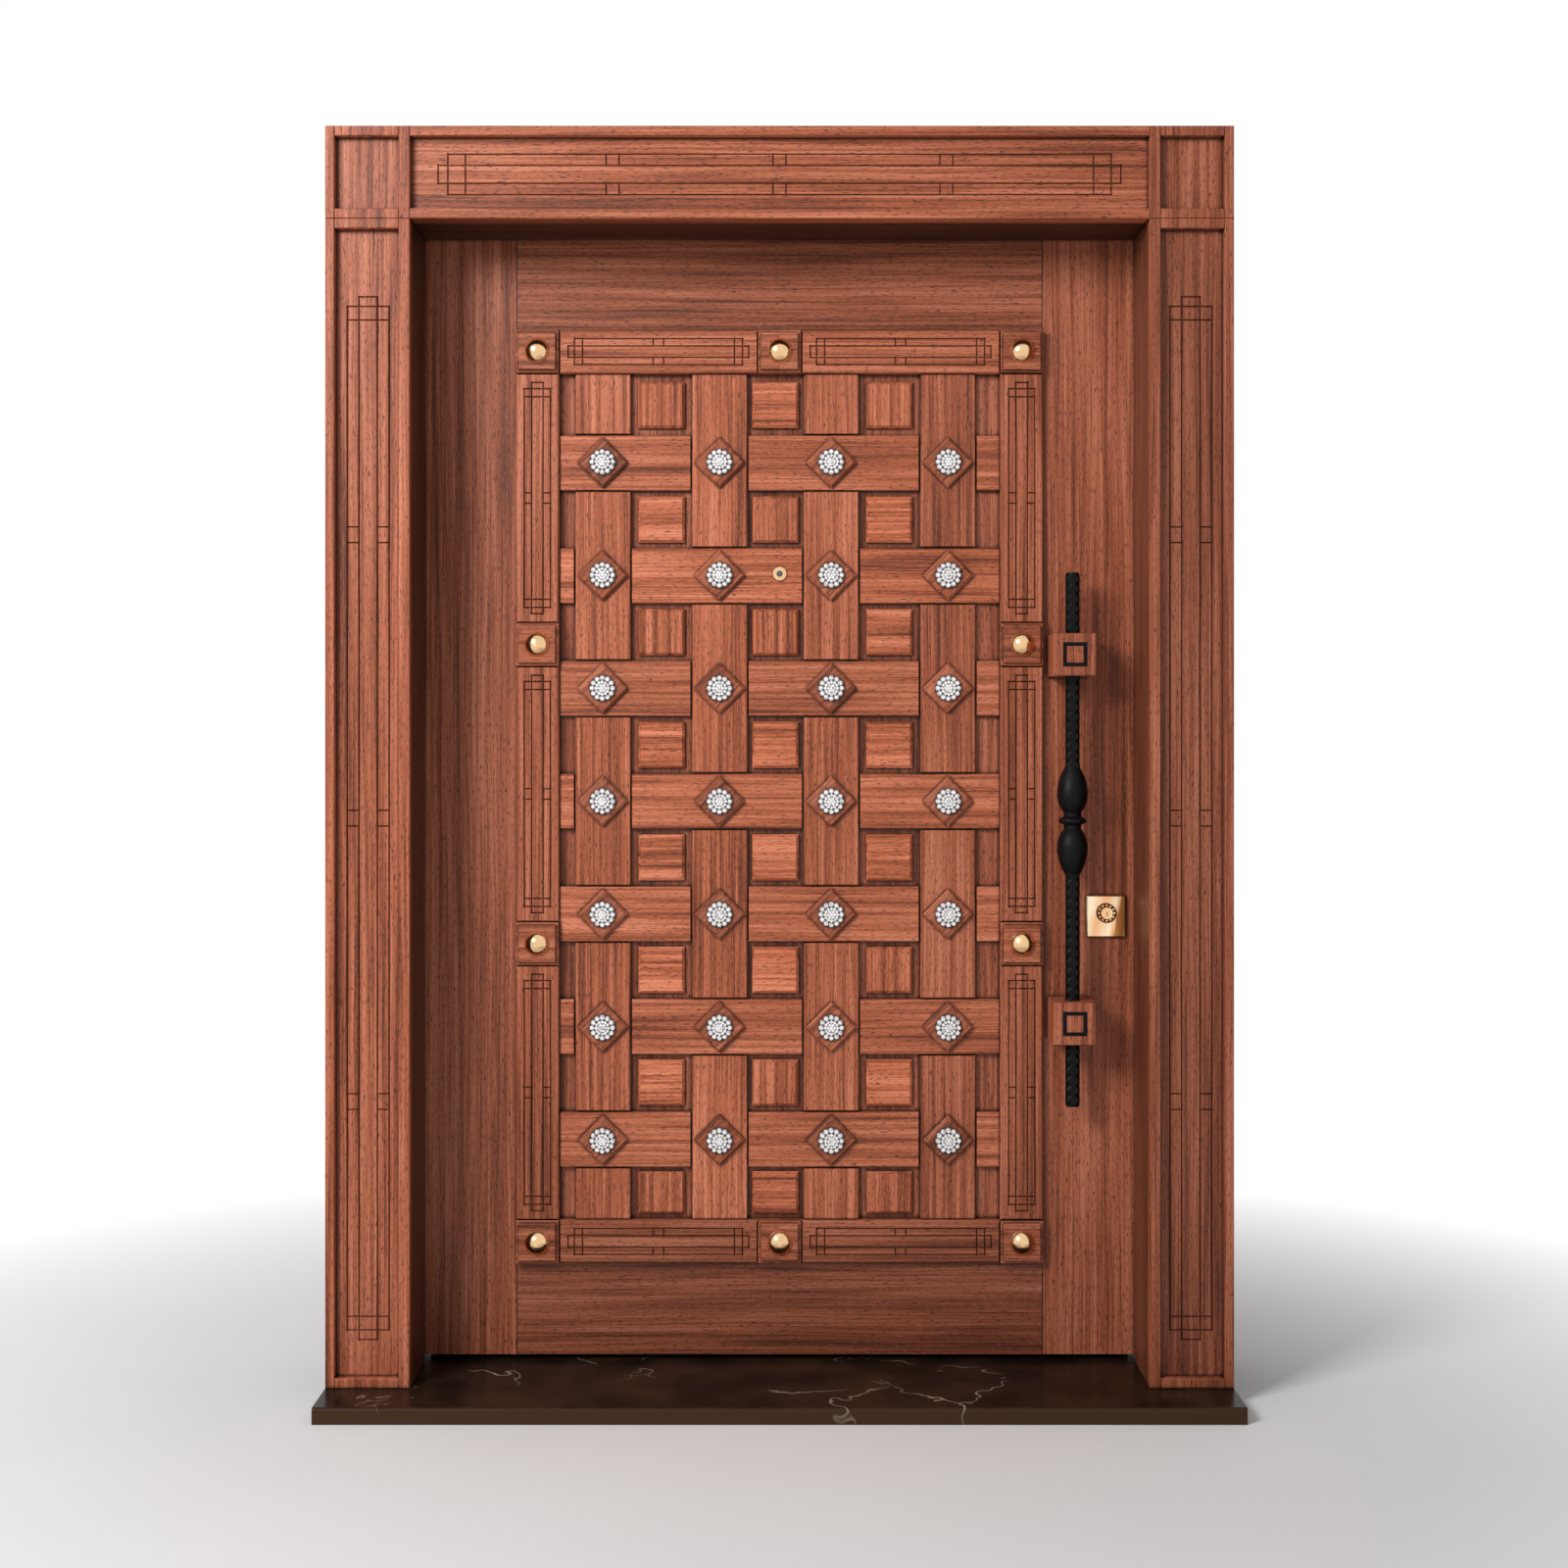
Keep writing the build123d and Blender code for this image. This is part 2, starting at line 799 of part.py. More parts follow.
def latch_keeper():
    """Keeper swung clear of the latch; closing turns it a quarter turn about its pin."""
    z_range = keeper_z_range()
    near = keeper_x - keeper_offset
    arm = block((near, near + keeper_thickness), (keeper_y - keeper_root, keeper_y + keeper_reach), z_range)
    arm = arm & post(keeper_reach, z_range, keeper_x, keeper_y)
    keeper = arm + post(keeper_hub_radius, z_range, keeper_x, keeper_y)
    return [keeper - post(keeper_pin_radius + running_clearance, z_range, keeper_x, keeper_y)]


# Leaf shell

def viewer_hole(y_range):
    return rod(viewer_radius, y_range, viewer_x, viewer_height)


def pull_bolt_holes(y_range):
    return [rod(pull_bolt_radius, y_range, pull_x, height) for height in pull_block_heights]


def cylinder_outline(y_range, clearance):
    """Round head and straight leg of the lock cylinder."""
    head = rod(cylinder_radius + clearance, y_range, cylinder_x, cylinder_height)
    half = cylinder_leg_width / 2 + clearance
    low = cylinder_height - cylinder_leg_drop - clearance
    leg = block((cylinder_x - half, cylinder_x + half), y_range, (low, cylinder_height))
    return head + leg


def lock_pocket():
    """Space that the lock case takes in the leaf."""
    x_range = (leaf_half - faceplate_thickness - lock_case_width, leaf_half + past)
    return block(x_range, around(lock_centre_y, lock_case_thickness), (lock_case_bottom, lock_case_top))


def faceplate_pocket():
    x_range = (leaf_half - faceplate_thickness, leaf_half + past)
    return block(x_range, around(lock_centre_y, faceplate_width), (faceplate_bottom, faceplate_top))


def through_holes(y_range):
    """Everything that passes through the leaf: viewer, handle bolts and cylinder."""
    holes = pull_bolt_holes(y_range)
    holes.append(viewer_hole(y_range))
    holes.append(cylinder_outline(y_range, cylinder_clearance))
    return holes


def spindle_hole(y_range):
    return rod(follower_radius, y_range, cylinder_x, follower_height)


def leaf_hinge_pockets():
    """Room for the leaf's hinge plates in its left edge."""
    x_range = (-leaf_half - past, leaf_plate_x()[1])
    return [hinge_pocket(height, x_range) for height in hinge_heights]


def leaf_outer_skin():
    """Tray of sheet: the street-side face with its four edges folded back."""
    outside = block((-leaf_half, leaf_half), (shell_front, shell_back), (leaf_bottom, leaf_top))
    inside = block((-leaf_half + shell_sheet, leaf_half - shell_sheet),
                   (shell_front + shell_sheet, shell_back + past), cavity_z())
    tray = outside - inside - through_holes(through((shell_front, shell_front + shell_sheet)))
    return [tray - lock_pocket() - faceplate_pocket() - leaf_hinge_pockets()]


def leaf_inner_skin():
    x_range = (-leaf_half + shell_sheet, leaf_half - shell_sheet)
    y_range = (shell_back - shell_sheet, shell_back)
    sheet = block(x_range, y_range, cavity_z())
    sheet = sheet - through_holes(through(y_range)) - spindle_hole(through(y_range))
    return [sheet - leaf_hinge_pockets()]


def cavity_z():
    return (leaf_bottom + shell_sheet, leaf_top - shell_sheet)


def cavity_y():
    return (shell_front + shell_sheet, shell_back - shell_sheet)


def rib_offsets():
    """Middle lines of the ribs, which share the leaf's width evenly."""
    pitch = 2 * leaf_half / (rib_count + 1)
    return [-leaf_half + pitch * index for index in range(1, rib_count + 1)]


def leaf_ribs():
    """Upright channels between the skins, and a heavier one behind the hinges."""
    ribs = []
    front, back = cavity_y()
    holes = through_holes(through(cavity_y()))
    for offset in rib_offsets():
        outer = block(around(offset, rib_width), (front, back), cavity_z())
        inner = block((offset - rib_width / 2 + rib_sheet, offset + rib_width / 2 + past),
                      (front + rib_sheet, back - rib_sheet), cavity_z())
        ribs.append(outer - inner - holes)
    edge = -leaf_half + shell_sheet
    outer = block((edge, edge + edge_channel_depth), (front, back), cavity_z())
    inner = block((edge + edge_channel_sheet, edge + edge_channel_depth + past),
                  (front + edge_channel_sheet, back - edge_channel_sheet), cavity_z())
    ribs.append(outer - inner - leaf_hinge_pockets())
    return ribs


def leaf_core():
    """Insulation slabs that fill the leaf between the ribs."""
    left_end = -leaf_half + shell_sheet + edge_channel_depth
    right_end = leaf_half - shell_sheet
    starts = [left_end] + [offset + rib_width / 2 for offset in rib_offsets()]
    ends = [offset - rib_width / 2 for offset in rib_offsets()] + [right_end]
    front, back = cavity_y()
    holes = through_holes(through(cavity_y()))
    holes.append(spindle_hole((lock_centre_y, back + past)))
    slabs = []
    for start, end in zip(starts, ends):
        slab = block((start, end), (front, back), cavity_z())
        slabs.append(slab - holes - lock_pocket() - faceplate_pocket())
    return slabs


def inner_board():
    """Room-side board with a plain engraved panel."""
    y_range = (shell_back, leaf_back)
    board = block((-leaf_half, leaf_half), y_range, (leaf_bottom, leaf_top))
    board = board - through_holes(through(y_range)) - spindle_hole(through(y_range))
    return [board - leaf_hinge_pockets() - room_side_grooves()]


def room_side_grooves():
    """V-cut outline on the room side, level with the border of the street side."""
    corners = [(-border_half, border_bottom), (border_half, border_bottom),
               (border_half, border_top), (-border_half, border_top)]
    flip = Plane.XZ.offset(-leaf_back)
    cuts = []
    for start, end in zip(corners, corners[1:] + corners[:1]):
        cuts.append(mirror(groove(start, end, leaf_back), flip))
    return cuts


def bottom_seal():
    """Rubber sweep under the leaf."""
    z_range = (threshold_height + seal_clearance, leaf_bottom)
    half = leaf_half - seal_width
    return [block((-half, half), around(lock_centre_y, seal_width), z_range)]


# Facing boards and border

def stile_boards():
    y_range = (leaf_front, shell_front)
    right = block((border_half, leaf_half), y_range, (leaf_bottom, leaf_top))
    left = mirror(right, Plane.YZ)
    holes = pull_bolt_holes(through(y_range))
    holes.append(cylinder_outline(through(y_range), cylinder_clearance))
    return [left, right - holes]


def rail_boards():
    x_range = (-border_half, border_half)
    y_range = (leaf_front, shell_front)
    return [
        block(x_range, y_range, (leaf_bottom, border_bottom)),
        block(x_range, y_range, (border_top, leaf_top)),
    ]


def field_board():
    y_range = (field_front, shell_front)
    board = block((-border_half, border_half), y_range, (border_bottom, border_top))
    return [board - viewer_hole(through(y_range))]


def block_columns():
    """Middle lines of the left and right border."""
    middle = border_half - border_width / 2
    return (-middle, middle)


def block_heights():
    """Middle heights of the four blocks of each side."""
    low = border_bottom + border_width / 2
    high = border_top - border_width / 2
    return (low, low + lower_block_rise, high - upper_block_drop, high)


def stud_centres():
    """Middle of each studded block (x, z)."""
    heights = block_heights()
    centres = [(x, z) for x in block_columns() for z in heights]
    return centres + [(0, heights[0]), (0, heights[-1])]


def side_mouldings():
    """Engraved border lengths between the blocks of each side."""
    heights = block_heights()
    reach = stud_block_size / 2
    pieces = []
    for x in block_columns():
        for start, end in zip(heights, heights[1:]):
            z_range = (start + reach, end - reach)
            pieces.append(moulding((x, sum(z_range) / 2), z_range[1] - z_range[0], True))
    return pieces


def rail_mouldings():
    """Engraved border lengths between the blocks of the top and bottom."""
    left, right = block_columns()
    heights = block_heights()
    reach = stud_block_size / 2
    stops = (left, 0.0, right)
    pieces = []
    for z in (heights[0], heights[-1]):
        for start, end in zip(stops, stops[1:]):
            x_range = (start + reach, end - reach)
            pieces.append(moulding((sum(x_range) / 2, z), x_range[1] - x_range[0], False))
    return pieces


def moulding(centre, length, upright):
    x_size, z_size = (border_width, length) if upright else (length, border_width)
    y_range = (border_front, field_front)
    board = tile(around(centre[0], x_size), y_range, around(centre[1], z_size), border_edge)
    halves = (moulding_narrow_half, moulding_wide_half)
    cuts = lattice(centre, length / 2 - moulding_pattern_margin, halves, moulding_wide_shortening,
                   moulding_cross_inset, [0], moulding_tick_gap, upright, border_front)
    return board - cuts


def stud_block_fronts():
    """Street-side planes of a stud block's base and of its raised step."""
    base_front = border_front - stud_block_relief
    return base_front, base_front - stud_block_step_height


def stud_shank_at(x, z):
    """Square shank of a stud in its block."""
    step_front = stud_block_fronts()[1]
    y_range = (step_front, step_front + stud_shank_length)
    return block(around(x, stud_shank), y_range, around(z, stud_shank))


def stud_blocks():
    """Stepped square blocks, each with a hole for its stud's shank."""
    blocks = []
    base_front, step_front = stud_block_fronts()
    step_size = stud_block_size - 2 * stud_block_step
    for x, z in stud_centres():
        base = tile(around(x, stud_block_size), (base_front, field_front), around(z, stud_block_size),
                    stud_block_edge)
        step = tile(around(x, step_size), (step_front, base_front), around(z, step_size), stud_step_edge)
        blocks.append(base + step - stud_shank_at(x, z))
    return blocks


def brass_studs():
    """Domed brass studs, each with a square shank."""
    step_front = stud_block_fronts()[1]
    ball_radius = (stud_radius ** 2 + stud_height ** 2) / (2 * stud_height)
    ball = Pos(0, step_front - stud_height + ball_radius, 0) * Rot(90, 0, 0) * Sphere(ball_radius)
    wide = around(0, 4 * stud_radius)
    dome = ball & block(wide, (step_front - 2 * stud_height, step_front), wide)
    return [Pos(x, 0, z) * dome + stud_shank_at(x, z) for x, z in stud_centres()]


# Woven field

def upright_on_top(column, row):
    """Whether the upright bar runs over the level one where they cross."""
    return (column + row) % 2 == 1


def runs(limits, crossings):
    """Stretches of a bar between the crossing bars that pass over it."""
    clear = bar_width / 2 + bar_seam
    starts = [limits[0]] + [crossing + clear for crossing in crossings]
    ends = [crossing - clear for crossing in crossings] + [limits[1]]
    return list(zip(starts, ends))


def weave_columns():
    bars = []
    for column, x in enumerate(column_centres):
        crossed = sorted(z for row, z in enumerate(row_centres) if not upright_on_top(column, row))
        for z_range in runs((field_bottom, field_top), crossed):
            bars.append(tile(around(x, bar_width), (bar_front, field_front), z_range, bar_edge))
    return bars


def weave_rows():
    bars = []
    hole = viewer_hole(through((bar_front, field_front)))
    for row, z in enumerate(row_centres):
        crossed = [x for column, x in enumerate(column_centres) if upright_on_top(column, row)]
        for x_range in runs((-field_half, field_half), crossed):
            bar = tile(x_range, (bar_front, field_front), around(z, bar_width), bar_edge)
            bars.append(bar - hole)
    return bars


def square_blocks():
    """Bevelled squares in the gaps of the weave."""
    half = bar_width / 2
    lefts = [x + half for x in column_centres[:-1]]
    rights = [x - half for x in column_centres[1:]]
    bottoms = [z + half for z in row_centres] + [field_bottom]
    tops = [field_top] + [z - half for z in row_centres]
    squares = []
    for x_range in zip(lefts, rights):
        for z_range in zip(bottoms, tops):
            squares.append(tile(square_side(x_range), (field_front - square_thickness, field_front),
                                square_side(z_range), square_bevel))
    return squares


def square_side(gap):
    """Limits of a square in its gap, smaller where the gap is narrow."""
    low, high = gap
    return around((low + high) / 2, min(square_size, high - low - 2 * square_min_gap))


def crossings():
    return [(x, z) for z in row_centres for x in column_centres]


def diamond_blocks():
    side = diamond_diagonal / 2 ** 0.5
    flat = tile(around(0, side), (diamond_front, bar_front), around(0, side), diamond_bevel)
    return [Pos(x, 0, z) * Rot(0, 45, 0) * flat for x, z in crossings()]


def rosette_outline(radius, y):
    """Many-sided outline of a rosette, looking at the street."""
    plane = Plane(origin=(0, y, 0), x_dir=(1, 0, 0), z_dir=(0, -1, 0))
    return plane * RegularPolygon(radius, rosette_sides)


def rosette_cups():
    """Thin settings under the stones."""
    cup = extrude(rosette_outline(cup_radius, diamond_front), cup_height)
    return [Pos(x, 0, z) * cup for x, z in crossings()]


def rosette_crystals():
    """Cut stone on each setting: a girdle, a crown of facets and a table."""
    seat = diamond_front - cup_height
    girdle = extrude(rosette_outline(crystal_radius, seat), crystal_girdle)
    crown = extrude(rosette_outline(crystal_radius, seat - crystal_girdle), crystal_crown,
                    taper=crystal_slope)
    return [Pos(x, 0, z) * (girdle + crown) for x, z in crossings()]


# Pull handle

def pull_bar():
    """Square iron bar with a turned bulge of two lobes and a ring."""
    bar = block(around(pull_x, pull_bar_size), around(pull_y, pull_bar_size), (pull_bottom, pull_top))
    bar = chamfer(bar.edges(), pull_bar_edge)
    ring_face = (bulge_ring_radius, 0)
    ring_edge = (bulge_neck_radius, bulge_ring_half_height)
    neck = (bulge_neck_radius, bulge_neck_offset)
    lobe = (bulge_lobe_radius, bulge_lobe_offset)
    end = (bulge_end_radius, bulge_half_length)
    outline = Line((0, 0), ring_face) + TangentArc(ring_face, ring_edge, tangent=(0, 1))
    outline = outline + Line(ring_edge, neck)
    outline = outline + TangentArc(lobe, neck, tangent=(0, -1)) + TangentArc(lobe, end, tangent=(0, 1))
    outline = outline + Line(end, (0, bulge_half_length)) + Line((0, bulge_half_length), (0, 0))
    upper = revolve(make_face(Plane.XZ * outline), Axis.Z)
    bulge = upper + mirror(upper, Plane.XY)
    return [bar + Pos(pull_x, pull_y, bulge_height) * bulge]


def pull_blocks():
    """Wooden blocks that carry the bar off the leaf."""
    blocks = []
    front = leaf_front - pull_block_depth
    for height in pull_block_heights:
        body = tile(around(pull_x, pull_block_size), (front, leaf_front), around(height, pull_block_size),
                    pull_block_edge)
        bolt = rod(pull_bolt_radius, (pull_y, leaf_front + past), pull_x, height)
        bar_hole = block(around(pull_x, pull_bar_size), around(pull_y, pull_bar_size),
                         through(around(height, pull_block_size)))
        blocks.append(body - pull_inlay(height) - bolt - bar_hole)
    return blocks


def pull_inlay(height):
    front = leaf_front - pull_block_depth
    y_range = (front, front + pull_inlay_depth)
    outer = block(around(pull_x, pull_inlay_outer), y_range, around(height, pull_inlay_outer))
    return outer - block(around(pull_x, pull_inlay_inner), y_range, around(height, pull_inlay_inner))


def pull_inlays():
    return [pull_inlay(height) for height in pull_block_heights]


# Lock

def cylinder_escutcheon():
    """Square brass guard with a round boss over the cylinder."""
    centre_z = cylinder_height - escutcheon_offset
    y_range = (leaf_front - escutcheon_thickness, leaf_front)
    plate = tile(around(cylinder_x, escutcheon_width), y_range, around(centre_z, escutcheon_height),
                 escutcheon_edge)
    front = y_range[0] - boss_height
    boss = rod(boss_radius, (front, y_range[0]), cylinder_x, cylinder_height)
    rim = boss.faces().sort_by(Axis.Y)[0].edges()
    plate = plate + fillet(rim, boss_edge)
    hole = rod(cylinder_radius, through((front, leaf_front)), cylinder_x, cylinder_height)
    leg = cylinder_outline((leaf_front - escutcheon_pocket, leaf_front + past), 0)
    return [plate - hole - leg]


def lock_case():
    """Steel case of the lock, open towards the faceplate."""
    end = leaf_half - faceplate_thickness
    x_range = (end - lock_case_width, end)
    y_range = around(lock_centre_y, lock_case_thickness)
    outside = block(x_range, y_range, (lock_case_bottom, lock_case_top))
    inside = block((x_range[0] + lock_case_sheet, x_range[1] + past),
                   (y_range[0] + lock_case_sheet, y_range[1] - lock_case_sheet),
                   (lock_case_bottom + lock_case_sheet, lock_case_top - lock_case_sheet))
    case = outside - inside - cylinder_outline(through(y_range), cylinder_clearance)
    bearing = rod(follower_journal_radius + running_clearance, through(y_range), cylinder_x, follower_height)
    return [case - bearing]


def lock_faceplate():
    x_range = (leaf_half - faceplate_thickness, leaf_half)
    plate = block(x_range, around(lock_centre_y, faceplate_width), (faceplate_bottom, faceplate_top))
    for height in bolt_heights:
        plate = plate - rod_across(bolt_radius + latch_clearance, through(x_range), lock_centre_y, height)
    window = block(through(x_range), around(lock_centre_y, latch_width + 2 * latch_clearance),
                   around(follower_height, latch_height + 2 * latch_clearance))
    return [plate - window]


def cylinder_front():
    return leaf_front - escutcheon_thickness - boss_height - cylinder_proud


def lock_cylinder():
    """Cylinder body, bored for its plug and the thumbturn, with a slot for the cam."""
    front = cylinder_front()
    back = leaf_back + lever_plate_thickness
    body = cylinder_outline((leaf_front - escutcheon_pocket, back), 0)
    body = body + rod(cylinder_radius, (front, leaf_front), cylinder_x, cylinder_height)
    bore = rod(plug_radius + plug_clearance, through((front, back)), cylinder_x, cylinder_height)
    slot = block(around(cylinder_x, 4 * cylinder_radius), around(lock_centre_y, cam_thickness + 2 * cam_play),
                 (cylinder_height - cylinder_slot_drop, cylinder_height + 2 * cylinder_radius))
    return [body - bore - slot]


def cylinder_plug():
    """Street-side plug with its keyway."""
    front = cylinder_front()
    back = lock_centre_y - cam_thickness / 2 - 2 * cam_play
    plug = rod(plug_radius, (front, back), cylinder_x, cylinder_height)
    keyway = block(around(cylinder_x, keyway_width), (front - past, front + keyway_depth),
                   around(cylinder_height - keyway_drop, keyway_height))
    return [plug - keyway]


def thumbturn():
    """Room-side knob, its shaft through the cylinder, and the cam at its end."""
    start = lock_centre_y - cam_thickness / 2
    neck_end = leaf_back + lever_plate_thickness + thumbturn_stem_length
    shaft = rod(thumbturn_stem_radius, (start, neck_end), cylinder_x, cylinder_height)
    cam = block(around(cylinder_x, cam_width), around(lock_centre_y, cam_thickness),
                (cylinder_height - cam_reach, cylinder_height))
    grip_start = neck_end - thumbturn_grip_lap
    grip = block(around(cylinder_x, thumbturn_grip_thickness), (grip_start, grip_start + thumbturn_grip_depth),
                 around(cylinder_height, thumbturn_grip_length))
    return [shaft + cam + fillet(grip.edges().filter_by(Axis.X), thumbturn_corner)]


def deadbolts():
    """Three round bolts on one carrier, drawn back flush with the faceplate."""
    tip = leaf_half - bolt_recess
    tail = tip - bolt_length
    reach = bolt_pitch + bolt_radius
    carrier = block((tail, tail + bolt_carrier_thickness), around(lock_centre_y, bolt_carrier_width),
                    around(cylinder_height, 2 * reach))
    for height in bolt_heights:
        bolt = rod_across(bolt_radius, (tail, tip), lock_centre_y, height)
        nose = bolt.faces().sort_by(Axis.X)[-1].edges()
        carrier = carrier + chamfer(nose, bolt_nose)
    return [carrier]


def latch_bolt():
    """Bevelled latch with a tail over the follower and a lug for its arm."""
    tip = leaf_half + latch_throw
    back = leaf_half - latch_length
    y_range = around(lock_centre_y, latch_width)
    z_range = around(follower_height, latch_height)
    head = block((back, tip), y_range, z_range)
    bevel = make_face(Polyline((leaf_half, y_range[0] - past), (tip + past, y_range[0] - past),
                               (tip + past, y_range[1]), close=True))
    head = head - extrude(Plane.XY.offset(z_range[0] - past) * bevel, latch_height + 2 * past)
    tail_y = around(lock_centre_y, latch_tail_width)
    tail_low = follower_height + latch_tail_rise
    tail_high = tail_low + latch_tail_height
    lug_face = cylinder_x - follower_arm_width / 2 - latch_lug_gap
    lug_start = lug_face - latch_lug_thickness
    riser = block((back, back + latch_riser), tail_y, (follower_height, tail_high))
    tail = block((lug_start, back + latch_riser), tail_y, (tail_low, tail_high))
    lug = block((lug_start, lug_face), tail_y, (tail_low - latch_lug_drop, tail_low))
    return [head + riser + tail + lug]


def lock_follower():
    """Hub turned by the spindle; its arm draws the latch."""
    hub = rod(follower_radius, around(lock_centre_y, follower_thickness), cylinder_x, follower_height)
    journal_y = around(lock_centre_y, lock_case_thickness)
    journals = rod(follower_journal_radius, journal_y, cylinder_x, follower_height)
    arm = block(around(cylinder_x, follower_arm_width), around(lock_centre_y, latch_tail_width),
                (follower_height, follower_height + follower_arm_reach))
    size = spindle_size + 2 * spindle_clearance
    square = block(around(cylinder_x, size), through(journal_y), around(follower_height, size))
    return [hub + journals + arm - square]


# Room-side furniture

def lever_plate():
    """Long plate with a bearing for the lever and an opening for the cylinder."""
    y_range = (leaf_back, leaf_back + lever_plate_thickness)
    plate = block(around(cylinder_x, lever_plate_width), y_range, (lever_plate_bottom, lever_plate_top))
    plate = chamfer(plate.faces().sort_by(Axis.Y)[-1].edges(), lever_plate_edge)
    bearing = rod(lever_neck_radius + running_clearance, through(y_range), cylinder_x, follower_height)
    recess = rod(lever_spring_room, (leaf_back - past, y_range[1] - lever_plate_web), cylinder_x,
                 follower_height)
    return [plate - bearing - recess - cylinder_outline(through(y_range), cylinder_clearance)]


def lever_spring():
    """Return spring: an open ring of flat steel with its two ends turned out."""
    back = leaf_back + lever_plate_thickness - lever_plate_web
    y_range = (back - lever_spring_width, back)
    outer_radius = lever_spring_radius + lever_spring_thickness
    ring = rod(outer_radius, y_range, cylinder_x, follower_height)
    ring = ring - rod(lever_spring_radius, y_range, cylinder_x, follower_height)
    below = (follower_height - outer_radius - past, follower_height)
    ring = ring - block(around(cylinder_x, lever_spring_opening), y_range, below)
    leg_z = (follower_height - outer_radius - lever_spring_leg, follower_height - lever_spring_radius)
    for side in (-1, 1):
        leg_x = cylinder_x + side * (lever_spring_opening + lever_spring_thickness) / 2
        ring = ring + block(around(leg_x, lever_spring_thickness), y_range, leg_z)
    return [ring]


def lever_handle():
    """Lever and its square spindle; the grip points away from the leaf's edge."""
    spindle_start = lock_centre_y - lock_case_thickness / 2
    spindle = block(around(cylinder_x, spindle_size), (spindle_start, leaf_back + past),
                    around(follower_height, spindle_size))
    neck_end = leaf_back + lever_plate_thickness + lever_neck_length
    neck = rod(lever_neck_radius, (leaf_back, neck_end), cylinder_x, follower_height)
    grip = block((cylinder_x - lever_grip_length, cylinder_x + lever_neck_radius),
                 (neck_end - lever_grip_thickness, neck_end), around(follower_height, lever_grip_width))
    grip = fillet(grip.edges().filter_by(Axis.X), lever_grip_edge)
    grip = chamfer(grip.faces().sort_by(Axis.X)[0].edges(), lever_tip_edge)
    return [spindle + neck + grip]


# Viewer

def viewer_barrel():
    """Tube through the leaf with a rim on each side and the cover's pivot."""
    front_rim = (bar_front - viewer_rim_height, bar_front)
    back_rim = (leaf_back, leaf_back + viewer_rim_height)
    rim = rod(viewer_rim_radius, front_rim, viewer_x, viewer_height)
    rim = chamfer(rim.faces().sort_by(Axis.Y)[0].edges(), viewer_rim_edge)
    inner_rim = rod(viewer_rim_radius, back_rim, viewer_x, viewer_height)
    tube = rod(viewer_radius, (bar_front, leaf_back), viewer_x, viewer_height)
    bore = rod(viewer_lens_radius, through((front_rim[0], back_rim[1])), viewer_x, viewer_height)
    pivot_z = viewer_height + viewer_cover_lift
    pivot_end = back_rim[1] + viewer_cover_gap + viewer_cover_thickness
    lug = rod(viewer_cover_ear_radius, back_rim, viewer_x, pivot_z)
    pivot = rod(viewer_cover_pivot_radius, (back_rim[1], pivot_end), viewer_x, pivot_z)
    return [rim + tube + inner_rim - bore + lug + pivot]


def viewer_lens():
    front = bar_front - viewer_rim_height + viewer_lens_inset
    back = leaf_back + viewer_rim_height - viewer_lens_inset
    ranges = ((front, front + viewer_lens_length), (back - viewer_lens_length, back))
    return [rod(viewer_lens_radius, y_range, viewer_x, viewer_height) for y_range in ranges]


def viewer_cover():
    """Swinging cover that hangs from its pivot over the inner lens."""
    start = leaf_back + viewer_rim_height + viewer_cover_gap
    y_range = (start, start + viewer_cover_thickness)
    pivot_z = viewer_height + viewer_cover_lift
    disc = rod(viewer_cover_radius, y_range, viewer_x, viewer_height)
    ear = rod(viewer_cover_ear_radius, y_range, viewer_x, pivot_z)
    neck = block(around(viewer_x, viewer_cover_neck), y_range, (viewer_height, pivot_z))
    hole = rod(viewer_cover_pivot_radius + running_clearance, through(y_range), viewer_x, pivot_z)
    return [disc + ear + neck - hole]


# Fasteners


def pull_bolts():
    """The handle's two bolts, through the whole leaf into the bar."""
    bolts = []
    for height in pull_block_heights:
        head = rod(pull_bolt_head_radius, (leaf_back, leaf_back + pull_bolt_head_height), pull_x, height)
        head = chamfer(head.faces().sort_by(Axis.Y)[-1].edges(), pull_bolt_head_edge)
        shank = rod(pull_bolt_radius, (pull_y + pull_bar_size / 2, leaf_back), pull_x, height)
        bolts.append(head + shank)
    return bolts


